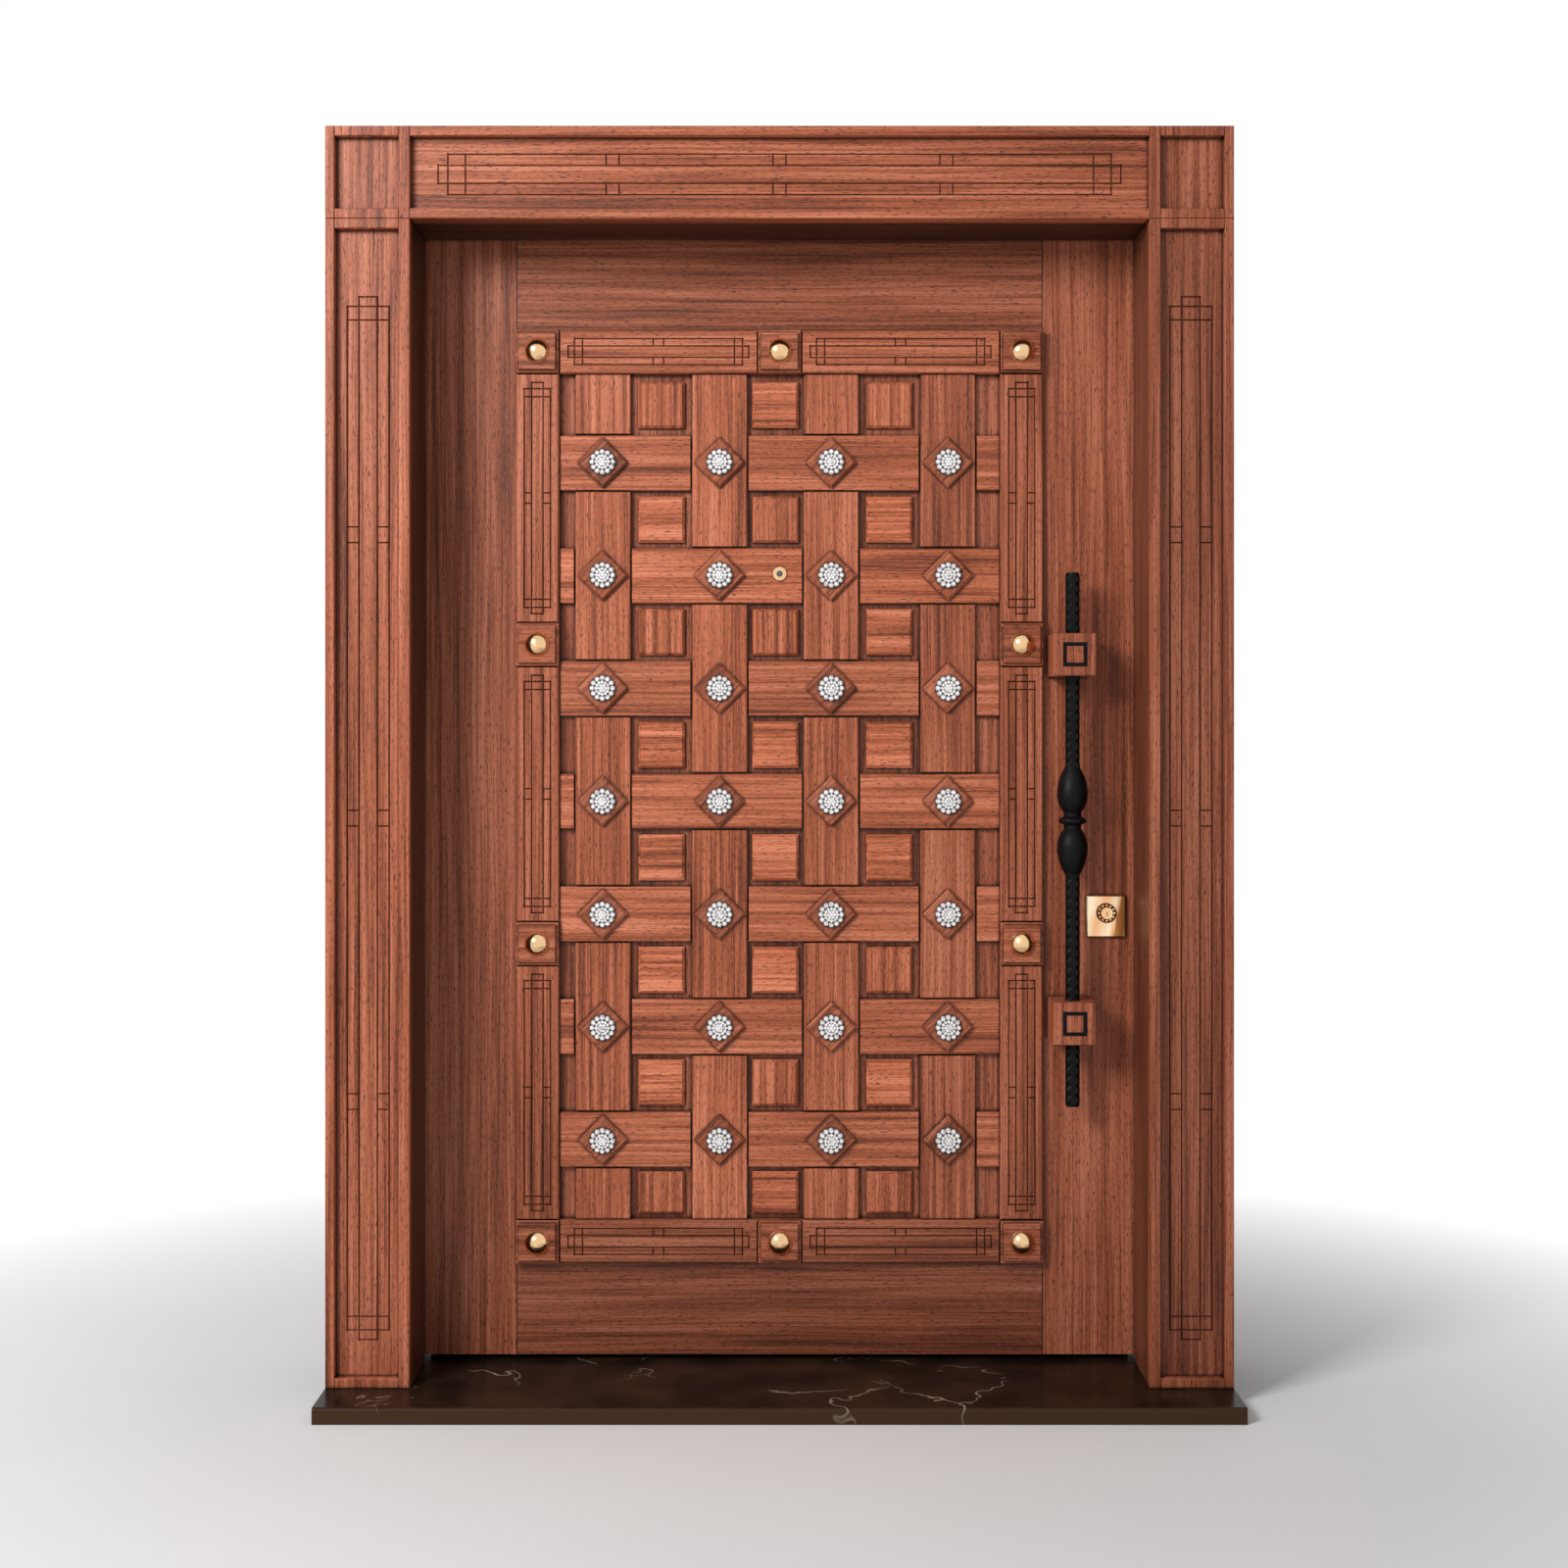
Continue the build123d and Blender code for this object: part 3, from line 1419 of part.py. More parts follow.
nodes = {
    "threshold": threshold(),
    "hinge_jamb": hinge_jamb(),
    "lock_jamb": lock_jamb(),
    "head_jamb": head_jamb(),
    "lining_left": [mirror(lining_right(), Plane.YZ)],
    "lining_right": [lining_right()],
    "lining_head": lining_head(),
    "pilaster_panels": both_sides(pilaster_panel()),
    "corner_panels": both_sides(corner_panel()),
    "casing_strips": casing_strips(),
    "header_panel": header_panel(),
    "header_strips": header_strips(),
    "inner_casings": inner_casings(),
    "frame_gaskets": frame_gaskets(),
    "hinge_frame_halves": hinge_frame_halves(),
    "hinge_leaf_halves": hinge_leaf_halves(),
    "hinge_pins": hinge_pins(),
    "hinge_washers": hinge_washers(),
    "strike_plate": strike_plate(),
    "keeper_pin": keeper_pin(),
    "latch_keeper": latch_keeper(),
    "leaf_outer_skin": leaf_outer_skin(),
    "leaf_inner_skin": leaf_inner_skin(),
    "leaf_ribs": leaf_ribs(),
    "leaf_core": leaf_core(),
    "inner_board": inner_board(),
    "bottom_seal": bottom_seal(),
    "stile_boards": stile_boards(),
    "rail_boards": rail_boards(),
    "field_board": field_board(),
    "side_mouldings": side_mouldings(),
    "rail_mouldings": rail_mouldings(),
    "stud_blocks": stud_blocks(),
    "brass_studs": brass_studs(),
    "weave_columns": weave_columns(),
    "weave_rows": weave_rows(),
    "square_blocks": square_blocks(),
    "diamond_blocks": diamond_blocks(),
    "rosette_cups": rosette_cups(),
    "rosette_crystals": rosette_crystals(),
    "pull_bar": pull_bar(),
    "pull_blocks": pull_blocks(),
    "pull_inlays": pull_inlays(),
    "cylinder_escutcheon": cylinder_escutcheon(),
    "lock_case": lock_case(),
    "lock_faceplate": lock_faceplate(),
    "lock_cylinder": lock_cylinder(),
    "cylinder_plug": cylinder_plug(),
    "thumbturn": thumbturn(),
    "deadbolts": deadbolts(),
    "latch_bolt": latch_bolt(),
    "lock_follower": lock_follower(),
    "lever_plate": lever_plate(),
    "lever_spring": lever_spring(),
    "lever_handle": lever_handle(),
    "viewer_barrel": viewer_barrel(),
    "viewer_lens": viewer_lens(),
    "viewer_cover": viewer_cover(),
    "pull_bolts": pull_bolts(),
}

os.makedirs("parts", exist_ok=True)
for name, pieces in nodes.items():
    export_step(Compound(children=solids_of(pieces)), f"parts/{name}.step")
print(len(nodes), "nodes")
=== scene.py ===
import math
import bmesh
import bpy
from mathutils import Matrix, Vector


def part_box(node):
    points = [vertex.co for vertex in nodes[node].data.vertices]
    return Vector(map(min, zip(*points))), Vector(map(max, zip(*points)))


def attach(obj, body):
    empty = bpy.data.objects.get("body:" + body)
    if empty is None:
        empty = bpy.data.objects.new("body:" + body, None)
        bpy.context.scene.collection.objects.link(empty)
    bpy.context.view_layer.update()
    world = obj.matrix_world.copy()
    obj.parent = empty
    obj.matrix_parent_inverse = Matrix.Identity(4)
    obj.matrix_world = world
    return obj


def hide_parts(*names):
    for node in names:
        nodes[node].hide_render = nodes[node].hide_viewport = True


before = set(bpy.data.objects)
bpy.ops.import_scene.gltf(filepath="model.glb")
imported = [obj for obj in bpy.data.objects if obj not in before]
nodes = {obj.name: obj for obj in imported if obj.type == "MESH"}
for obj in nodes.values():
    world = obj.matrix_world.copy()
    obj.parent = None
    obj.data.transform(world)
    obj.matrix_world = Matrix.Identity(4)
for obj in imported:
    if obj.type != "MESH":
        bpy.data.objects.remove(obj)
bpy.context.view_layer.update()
print("frame loaded:", len(nodes), "nodes")

# Camera, where the photograph was taken from. Lengths are in metres here and below.
view = {"distance": 4.0, "height": 1.2306, "lens": 50, "sensor": 36, "shiftX": 0.0028, "shiftY": -0.03125}


def addCamera():
    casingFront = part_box("casing_strips")[0].y
    data = bpy.data.cameras.new("doorCamera")
    data.lens = view["lens"]
    data.sensor_width = view["sensor"]
    data.shift_x = view["shiftX"]
    data.shift_y = view["shiftY"]
    camera = bpy.data.objects.new("doorCamera", data)
    camera.location = (0, casingFront - view["distance"], view["height"])
    camera.rotation_euler = (math.pi / 2, 0, 0)
    bpy.context.scene.collection.objects.link(camera)
    bpy.context.scene.camera = camera


addCamera()
print("camera placed")


class Wire:
    # wraps a socket, so that shader maths reads as plain arithmetic
    def __init__(self, tree, socket=None):
        self.tree = tree
        self.socket = socket

    def node(self, kind, settings=None, inputs=None, output=0):
        made = self.tree.nodes.new(kind)
        for key, value in (settings or {}).items():
            if key == "stops":
                fillRamp(made.color_ramp, value)
            else:
                setattr(made, key, value)
        for key, value in (inputs or {}).items():
            if isinstance(value, Wire):
                self.tree.links.new(value.socket, made.inputs[key])
            else:
                made.inputs[key].default_value = value
        return Wire(self.tree, made.outputs[output])

    def maths(self, operation, *values):
        return self.node("ShaderNodeMath", {"operation": operation}, dict(enumerate(values)))

    def __add__(self, other):
        return self.maths("ADD", self, other)

    def __radd__(self, other):
        return self.maths("ADD", other, self)

    def __sub__(self, other):
        return self.maths("SUBTRACT", self, other)

    def __rsub__(self, other):
        return self.maths("SUBTRACT", other, self)

    def __mul__(self, other):
        return self.maths("MULTIPLY", self, other)

    def __rmul__(self, other):
        return self.maths("MULTIPLY", other, self)

    def __truediv__(self, other):
        return self.maths("DIVIDE", self, other)

    def __rtruediv__(self, other):
        return self.maths("DIVIDE", other, self)

    def __gt__(self, other):
        return self.maths("GREATER_THAN", self, other)

    def floor(self):
        return self.maths("FLOOR", self)

    def absolute(self):
        return self.maths("ABSOLUTE", self)

    def between(self, low, high, newLow=0.0, newHigh=1.0):
        return self.node("ShaderNodeMapRange", {}, {0: self, 1: low, 2: high, 3: newLow, 4: newHigh})

    def ramp(self, stops):
        return self.node("ShaderNodeValToRGB", {"stops": stops}, {"Fac": self})

    def pick(self, first, second):
        # the first colour where this is 0, the second where it is 1
        colours = {0: self, 6: opaque(first), 7: opaque(second)}
        return self.node("ShaderNodeMix", {"data_type": "RGBA"}, colours, 2)

    def tint(self, other):
        # colour times colour
        colours = {0: 1.0, 6: self, 7: opaque(other)}
        return self.node("ShaderNodeMix", {"data_type": "RGBA", "blend_type": "MULTIPLY"}, colours, 2)

    def noise(self, scale, detail=2.0, roughness=0.5, output=0):
        values = {"Vector": self, "Scale": scale, "Detail": detail, "Roughness": roughness}
        return self.node("ShaderNodeTexNoise", {}, values, output)

    def axes(self):
        parts = self.node("ShaderNodeSeparateXYZ", {}, {0: self})
        return [Wire(self.tree, socket) for socket in parts.socket.node.outputs]

    def joined(self, x, y, z):
        return self.node("ShaderNodeCombineXYZ", {}, {0: x, 1: y, 2: z})

    def bump(self, height, strength, distance):
        values = {"Height": height, "Strength": strength, "Distance": distance}
        return self.node("ShaderNodeBump", {}, values)


# Noise keeps near the middle of its range, so a mask made of it starts and ends inside it
noiseSpan = (0.3, 0.7)
noiseCore = (0.35, 0.65)


def opaque(colour):
    # a plain colour gets its alpha, and a wire stays as it is
    return colour if isinstance(colour, Wire) else (*colour, 1.0)


def fillRamp(ramp, stops):
    while len(ramp.elements) > 1:
        ramp.elements.remove(ramp.elements[-1])
    for index, (place, colour) in enumerate(stops):
        element = ramp.elements[0] if index == 0 else ramp.elements.new(place)
        element.position = place
        element.color = opaque(colour)


def startMaterial(name):
    material = bpy.data.materials.new(name)
    material.use_nodes = True
    tree = material.node_tree
    start = Wire(tree)
    place = start.node("ShaderNodeTexCoord", output="Object")
    return material, start, tree.nodes["Principled BSDF"], place


def feed(shader, **inputs):
    # links or sets the shader's sockets by their names without spaces
    sockets = {socket.name.replace(" ", ""): socket for socket in shader.inputs}
    for key, value in inputs.items():
        if isinstance(value, Wire):
            value.tree.links.new(value.socket, sockets[key])
        else:
            sockets[key].default_value = value


def finishNodes(material, *names):
    for name in names:
        mesh = nodes[name].data
        mesh.materials.clear()
        mesh.materials.append(material)


# The weave's crossings, found from the outermost cups
weave = {"rows": 7, "outerPitch": 0.224, "cupRadius": 0.026}
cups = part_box("rosette_cups")
firstColumn = cups[0].x + weave["cupRadius"]
lastColumn = cups[1].x - weave["cupRadius"]
innerColumns = [firstColumn + weave["outerPitch"], lastColumn - weave["outerPitch"]]
columnPlaces = [firstColumn, *innerColumns, lastColumn]
meanPitch = (lastColumn - firstColumn) / (len(columnPlaces) - 1)
lowRow = cups[0].z + weave["cupRadius"]
rowPitch = (cups[1].z - weave["cupRadius"] - lowRow) / (weave["rows"] - 1)
rowPlaces = [lowRow + index * rowPitch for index in range(weave["rows"])]
crossings = [(x, z) for z in rowPlaces for x in columnPlaces]

# How the boards of one node are told apart: the start and pitch of their divisions along x, and along z
undivided = (5, 20)  # one division that holds the whole door
betweenColumns = (firstColumn - meanPitch / 2, meanPitch)
betweenRows = (lowRow - rowPitch / 2, rowPitch)
splits = {
    "leftRight": ((0, 2), undivided),
    "lowHigh": (undivided, (1, 2)),
    "handleEnds": (undivided, (0, 1)),
    "studPitch": ((0, 0.3), (0, 0.3)),
    "columns": (betweenColumns, undivided),
    "rows": (undivided, betweenRows),
    "squares": ((firstColumn, meanPitch), (lowRow, rowPitch)),
    "diamonds": (betweenColumns, betweenRows),
}

# Groups of boards. A second tone is for the right or high board, and the first tone is for the other. Where
# a group has both, the difference between them is painted light and shade.
boards = {
    # the right pilaster and the right strips are toned darker: painted shade, where less of the lamp's
    # light reaches
    "pilasterWood": {"on": ["pilaster_panels"], "grain": "z", "seed": 1.0, "split": "leftRight",
                     "tone": 0.90, "second": 0.66},
    "stripWood": {"on": ["casing_strips"], "grain": "z", "seed": 1.5, "split": "leftRight",
                  "tone": 1.0, "second": 0.80},
    "roomCasing": {"on": ["inner_casings"], "grain": "head", "seed": 2.5, "tone": 0.9, "headWidth": 0.070},
    "casingCorner": {"on": ["corner_panels"], "grain": "z", "seed": 2.0, "split": "leftRight",
                     "tone": 0.84},
    "casingLevel": {"on": ["header_panel", "header_strips"], "grain": "x", "seed": 3.0, "tone": 0.95},
    # the linings are toned far darker than the casing, the left one and the head darkest: painted shade in
    # the reveal
    "liningUpright": {"on": ["lining_left", "lining_right"], "grain": "z", "seed": 4.0,
                      "split": "leftRight", "tone": 0.16, "second": 0.40},
    "liningLevel": {"on": ["lining_head"], "grain": "x", "seed": 5.0, "tone": 0.13},
    # the left stile is toned darker than the right: painted shadow of the casing
    "stileUpright": {"on": ["stile_boards"], "grain": "z", "seed": 6.0, "split": "leftRight",
                     "tone": 0.83, "second": 0.90, "meetsRail": True},
    # the bottom rail is toned darker than the top rail: painted shade towards the bottom
    "railLevel": {"on": ["rail_boards"], "grain": "x", "seed": 7.0, "split": "lowHigh",
                  "tone": 0.66, "second": 0.80, "meetsRail": True},
    "mouldingUpright": {"on": ["side_mouldings"], "grain": "z", "seed": 8.0, "split": "leftRight",
                        "tone": 0.92},
    "mouldingLevel": {"on": ["rail_mouldings"], "grain": "x", "seed": 9.0, "split": "lowHigh",
                      "tone": 0.92},
    "blockWood": {"on": ["stud_blocks"], "grain": "x", "seed": 10.0, "split": "studPitch", "tone": 0.90},
    "columnWood": {"on": ["weave_columns"], "grain": "z", "seed": 11.0, "split": "columns", "tone": 1.05},
    "rowWood": {"on": ["weave_rows"], "grain": "x", "seed": 12.0, "split": "rows", "tone": 1.22},
    "squareWood": {"on": ["square_blocks"], "grain": "either", "seed": 13.0, "split": "squares",
                   "tone": 1.26},
    "diamondWood": {"on": ["diamond_blocks"], "grain": "diagonal", "seed": 14.0, "split": "diamonds",
                    "tone": 0.9},
    "fieldWood": {"on": ["field_board"], "grain": "z", "seed": 15.0, "tone": 0.78},
    "roomBoard": {"on": ["inner_board"], "grain": "z", "seed": 16.0, "tone": 0.9},
    "handleWood": {"on": ["pull_blocks"], "grain": "z", "seed": 17.0, "split": "handleEnds", "tone": 0.92},
}

# Layers of the grain: marks in a metre across it, and what a length along it is multiplied by
figure = {
    "streaks": {"perMetre": 85.0, "squeeze": 0.018, "detail": 4.0, "roughness": 0.62},
    "fibres": {"perMetre": 380.0, "squeeze": 0.012, "detail": 2.0, "roughness": 0.6},
    "flecks": {"perMetre": 620.0, "squeeze": 0.14, "detail": 1.0, "roughness": 0.5},
    "clouds": {"perMetre": 9.0, "squeeze": 0.15, "detail": 1.0, "roughness": 0.5},
}

# The recipe that all the boards share
woodLook = {
    "dark": (0.112, 0.024, 0.008),
    "middle": (0.370, 0.095, 0.038),
    "light": (0.62, 0.207, 0.112),
    "stops": (0.38, 0.49, 0.61),  # where the mixed grain is dark, middle and light
    "streakShare": 0.5,
    "fibreShare": 0.3,
    "cloudShare": 0.2,
    "pore": (0.035, 0.007, 0.003),
    "poreEdge": (0.33, 0.385),  # lower flecks are pores
    "poreShare": 0.8,
    "paleEdge": (0.64, 0.74),  # higher flecks are pale
    "paleShare": 0.45,
    "driftAlong": 1.1,
    "driftAcross": 3.0,
    "driftScale": 1.6,
    "wander": 0.010,  # how far the grain strays across the board
    "boardShift": 7.0,
    "seedShift": 1.7,
    "turnedAbove": 0.45,  # a board with either grain lies level above this chance
    "darkestBoard": 0.84,
    "lightestBoard": 1.10,
    # near black: painted shade in seams, engraved lines and inner corners, and the dark joint line where a
    # stile meets a rail
    "seam": (0.012, 0.003, 0.002),
    # how far the ambient occlusion looks for the painted shade
    "seamReach": 0.010,
    "seamEdge": (0.46, 0.86),  # how open a place is, from seam to clear board
    "jointEdge": (0.0004, 0.0016),
    "hollowRoughness": 0.51,
    "fibreRoughness": 0.39,
    "coat": 0.03,
    "coatRoughness": 0.28,
    "shine": 0.30,
    "fibreRelief": 0.6,
    "poreRelief": 0.5,
    "bump": 0.3,
    "bumpHeight": 0.0012,
}
diagonalShare = 0.7071  # of x and z each, for grain at 45 degrees


def tellApart(start, x, z, board):
    # a random number for each board of the group, and its side: -0.5 left or low, 0.5 right or high
    (startX, pitchX), (startZ, pitchZ) = splits[board["split"]]
    column = ((x - startX) / pitchX).floor()
    row = ((z - startZ) / pitchZ).floor()
    which = start.joined(column, row, board["seed"])
    chance = start.node("ShaderNodeTexWhiteNoise", {"noise_dimensions": "3D"}, {"Vector": which})
    return chance, column + row + 1.5


def turnWhere(mask, x, z):
    # the grain runs along x where the mask is 1, and along z where it is 0
    along = x * mask + z * (1 - mask)
    across = z * mask + x * (1 - mask)
    return along, across


def followGrain(x, z, board, chance):
    # lengths along and across the grain
    if board["grain"] == "x":
        return x, z
    if board["grain"] == "z":
        return z, x
    if board["grain"] == "diagonal":
        return (x + z) * diagonalShare, (x - z) * diagonalShare
    if board["grain"] == "head":
        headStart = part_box(board["on"][0])[1].z - board["headWidth"]
        return turnWhere(z > headStart, x, z)
    return turnWhere(chance > woodLook["turnedAbove"], x, z)


def shadeBoard(start, colour, board, chance, side):
    tone = board["tone"]
    # two sides with two tones: painted light and shade
    if "second" in board:
        shade = side.between(-0.5, 0.5, tone, board["second"])
    elif chance is not None:
        shade = chance.between(0.0, 1.0, tone * woodLook["darkestBoard"], tone * woodLook["lightestBoard"])
    else:
        return colour.tint((tone, tone, tone))
    return colour.tint(start.joined(shade, shade, shade))


def clearOfShadeAndJoints(start, x, board):
    # 0 where ambient occlusion paints shade into a seam, an engraved line or an inner corner, and on the
    # dark joint line where a stile meets a rail; 1 on the open board
    reach = {"Distance": woodLook["seamReach"]}
    openness = start.node("ShaderNodeAmbientOcclusion", {"samples": 8}, reach, "AO")
    clear = openness.between(*woodLook["seamEdge"])
    if "meetsRail" in board:
        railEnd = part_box("rail_boards")[1].x
        clear = clear * (x.absolute() - railEnd).absolute().between(*woodLook["jointEdge"])
    return clear


def woodMaterial(name, board):
    look = woodLook
    material, start, shader, place = startMaterial(name)
    x, depth, z = place.axes()
    chance, side = tellApart(start, x, z, board) if "split" in board else (None, None)
    along, across = followGrain(x, z, board, chance)
    # each board comes from its own part of the log
    across = across + (board["seed"] * look["seedShift"] if chance is None else chance * look["boardShift"])
    drift = start.joined(along * look["driftAlong"], across * look["driftAcross"], depth)
    across = across + drift.noise(look["driftScale"], 1.0) * look["wander"]
    marks = {}
    for key, layer in figure.items():
        drawnOut = start.joined(along * layer["squeeze"], across, depth)
        marks[key] = drawnOut.noise(layer["perMetre"], layer["detail"], layer["roughness"])
    pores = marks["flecks"].between(*look["poreEdge"], 1.0, 0.0)
    paleFlecks = marks["flecks"].between(*look["paleEdge"])
    mixed = marks["streaks"] * look["streakShare"] + marks["fibres"] * look["fibreShare"]
    mixed = mixed + marks["clouds"] * look["cloudShare"]
    body = mixed.ramp(list(zip(look["stops"], (look["dark"], look["middle"], look["light"]))))
    lifted = (paleFlecks * look["paleShare"]).pick(body, look["light"])
    speckled = (pores * look["poreShare"]).pick(lifted, look["pore"])
    toned = shadeBoard(start, speckled, board, chance, side)
    # painted shade in seams, grooves and corners, and a dark joint line at the stile ends
    colour = clearOfShadeAndJoints(start, x, board).pick(look["seam"], toned)
    gloss = marks["fibres"].between(*noiseSpan, look["hollowRoughness"], look["fibreRoughness"])
    height = marks["fibres"] * look["fibreRelief"] - pores * look["poreRelief"]
    relief = start.bump(height, look["bump"], look["bumpHeight"])
    feed(shader, BaseColor=colour, Roughness=gloss, Normal=relief, CoatWeight=look["coat"],
         CoatRoughness=look["coatRoughness"], SpecularIORLevel=look["shine"])
    return material


for name, board in boards.items():
    finishNodes(woodMaterial(name, board), *board["on"])
print("wood finished")

# Metals: cloud is how far the roughness wanders, grit how deep the fine bumps are
metals = {
    "brassGold": {"colour": (0.93, 0.60, 0.32), "roughness": 0.16, "metallic": 1.0, "cloud": 0.05,
                  "grit": 0.02},
    "brushedSteel": {"colour": (0.50, 0.50, 0.51), "roughness": 0.36, "metallic": 1.0, "cloud": 0.08,
                     "grit": 0.06},
    "brightChrome": {"colour": (0.82, 0.83, 0.85), "roughness": 0.10, "metallic": 1.0, "cloud": 0.03,
                     "grit": 0.01},
    "darkSilver": {"colour": (0.16, 0.15, 0.15), "roughness": 0.32, "metallic": 1.0, "cloud": 0.08,
                   "grit": 0.1},
    # near black brass for the crown's bed: painted shade between the beads
    "paintedShadeBrass": {"colour": (0.17, 0.070, 0.022), "roughness": 0.34, "metallic": 1.0, "cloud": 0.08,
                  "grit": 0.05},
    "forgedIron": {"colour": (0.004, 0.004, 0.004), "roughness": 0.42, "metallic": 0.0, "cloud": 0.10,
                   "grit": 0.4, "shine": 0.12},
    "coatedSteel": {"colour": (0.105, 0.045, 0.032), "roughness": 0.45, "metallic": 0.0, "cloud": 0.06,
                    "grit": 0.12},
}
metalGrain = {"cloudsPerMetre": 28.0, "gritPerMetre": 950.0, "dim": 0.86, "bumpHeight": 0.0006}


def metalMaterial(name):
    look = metals[name]
    material, start, shader, place = startMaterial(name)
    cloud = place.noise(metalGrain["cloudsPerMetre"], 3.0, 0.6)
    grit = place.noise(metalGrain["gritPerMetre"], 2.0, 0.6)
    gloss = cloud.between(*noiseSpan, look["roughness"] - look["cloud"], look["roughness"] + look["cloud"])
    dim = tuple(part * metalGrain["dim"] for part in look["colour"])
    colour = cloud.between(*noiseCore).pick(dim, look["colour"])
    relief = start.bump(grit, look["grit"], metalGrain["bumpHeight"])
    feed(shader, BaseColor=colour, Roughness=gloss, Normal=relief, Metallic=look["metallic"],
         SpecularIORLevel=look.get("shine", 0.5))
    return material


metal = {name: metalMaterial(name) for name in metals}

# The square brass guard: what it mirrors is drawn as bands, since the photographed room isn't there
guardLook = {
    "pale": (1.0, 0.80, 0.55),
    "middle": (0.90, 0.47, 0.22),
    "deep": (0.42, 0.17, 0.05),
    "bands": [(0.06, "pale"), (0.32, "middle"), (0.56, "pale"), (0.66, "middle"), (0.71, "deep"),
              (0.88, "deep"), (0.95, "middle")],
    "acrossShare": 0.85,
    "upShare": 0.30,
    "wobbleShare": 0.30,
    "wobbleScale": 60.0,
    "wobbleSqueeze": 0.25,
    "scratchesPerMetre": 900.0,
    "scratchSqueeze": 0.1,
    "scratchDepth": 0.02,
    "bumpHeight": 0.0005,
    "roughness": 0.16,
    "cloud": 0.04,
}


def guardMaterial():
    # painted reflection: pale at its upper left, with upright bands that deepen to the right
    look = guardLook
    low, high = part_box("cylinder_escutcheon")
    material, start, shader, place = startMaterial("paintedReflectionBrass")
    x, y, z = place.axes()
    acrossPlate = (x - low.x) / (high.x - low.x)
    upPlate = (z - low.z) / (high.z - low.z)
    wobble = start.joined(x, y, z * look["wobbleSqueeze"]).noise(look["wobbleScale"], 2.0)
    sweep = acrossPlate * look["acrossShare"] - upPlate * look["upShare"] + wobble * look["wobbleShare"]
    colour = sweep.ramp([(stop, look[tone]) for stop, tone in look["bands"]])
    gloss = wobble.between(*noiseSpan, look["roughness"] - look["cloud"], look["roughness"] + look["cloud"])
    scratches = start.joined(x, y, z * look["scratchSqueeze"]).noise(look["scratchesPerMetre"], 2.0)
    relief = start.bump(scratches, look["scratchDepth"], look["bumpHeight"])
    feed(shader, BaseColor=colour, Roughness=gloss, Metallic=1.0, Normal=relief)
    return material


finishNodes(guardMaterial(), "cylinder_escutcheon")
finishNodes(metal["brassGold"], "brass_studs", "lock_cylinder", "cylinder_plug", "thumbturn", "lever_plate",
            "lever_handle", "viewer_barrel", "viewer_cover", "hinge_washers")
finishNodes(metal["brushedSteel"], "hinge_frame_halves", "hinge_leaf_halves", "hinge_pins", "strike_plate",
            "keeper_pin", "latch_keeper", "lock_case", "lock_faceplate", "lock_follower", "lever_spring",
            "pull_bolts")
finishNodes(metal["brightChrome"], "deadbolts", "latch_bolt", "rosette_cups")
finishNodes(metal["forgedIron"], "pull_bar")
finishNodes(metal["coatedSteel"], "hinge_jamb", "lock_jamb", "head_jamb", "leaf_outer_skin",
            "leaf_inner_skin", "leaf_ribs")
print("metal finished")

# Threshold: dark polished stone with pale veins, and a front edge of a warmer brown
stoneLook = {
    "ground": (0.010, 0.006, 0.004),
    "cloud": (0.045, 0.022, 0.013),
    "cloudScale": 9.0,
    "cloudEdge": (0.4, 0.75),
    "front": (0.060, 0.029, 0.016),
    "nosing": 0.006,
    "vein": (0.50, 0.38, 0.30),
    "veinWidth": 0.008,
    "veinsPerMetre": 2.6,
    "bendScale": 3.0,
    "bend": (0.5, 0.5, 0.5),
    "patchScale": 4.5,
    "patchEdge": (0.52, 0.66),
    "roughness": 0.26,
    "veinRoughness": 0.35,
    "shine": 0.06,
}


def stoneMaterial():
    look = stoneLook
    material, start, shader, place = startMaterial("blackMarble")
    # the veins are cracks between cells, bent by a broad noise
    bend = place.noise(look["bendScale"], 4.0, 0.6, "Color")
    bent = start.node("ShaderNodeVectorMath", {"operation": "MULTIPLY_ADD"},
                      {0: bend, 1: look["bend"], 2: place})
    cracks = start.node("ShaderNodeTexVoronoi", {"feature": "DISTANCE_TO_EDGE"},
                        {"Vector": bent, "Scale": look["veinsPerMetre"]})
    line = cracks.between(0.0, look["veinWidth"], 1.0, 0.0)
    veins = line * place.noise(look["patchScale"], 2.0).between(*look["patchEdge"])
    clouds = place.noise(look["cloudScale"], 4.0).between(*look["cloudEdge"])
    ground = clouds.pick(look["ground"], look["cloud"])
    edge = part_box("threshold")[0].y
    front = place.axes()[1].between(edge, edge + look["nosing"], 1.0, 0.0)
    colour = veins.pick(front.pick(ground, look["front"]), look["vein"])
    gloss = veins.between(0.0, 1.0, look["roughness"], look["veinRoughness"])
    feed(shader, BaseColor=colour, Roughness=gloss, SpecularIORLevel=look["shine"])
    return material


# Rubber, insulation and the inlays of the handle
plainLooks = {
    "blackRubber": {"colour": (0.012, 0.012, 0.012), "roughness": 0.75, "perMetre": 600.0, "relief": 0.15},
    "mineralWool": {"colour": (0.42, 0.36, 0.20), "roughness": 0.95, "perMetre": 300.0, "relief": 0.9},
    "blackInlay": {"colour": (0.003, 0.003, 0.003), "roughness": 0.40, "perMetre": 500.0, "relief": 0.05,
                   "shine": 0.1},
}
plainGrain = {"pale": 1.35, "bumpHeight": 0.0008}


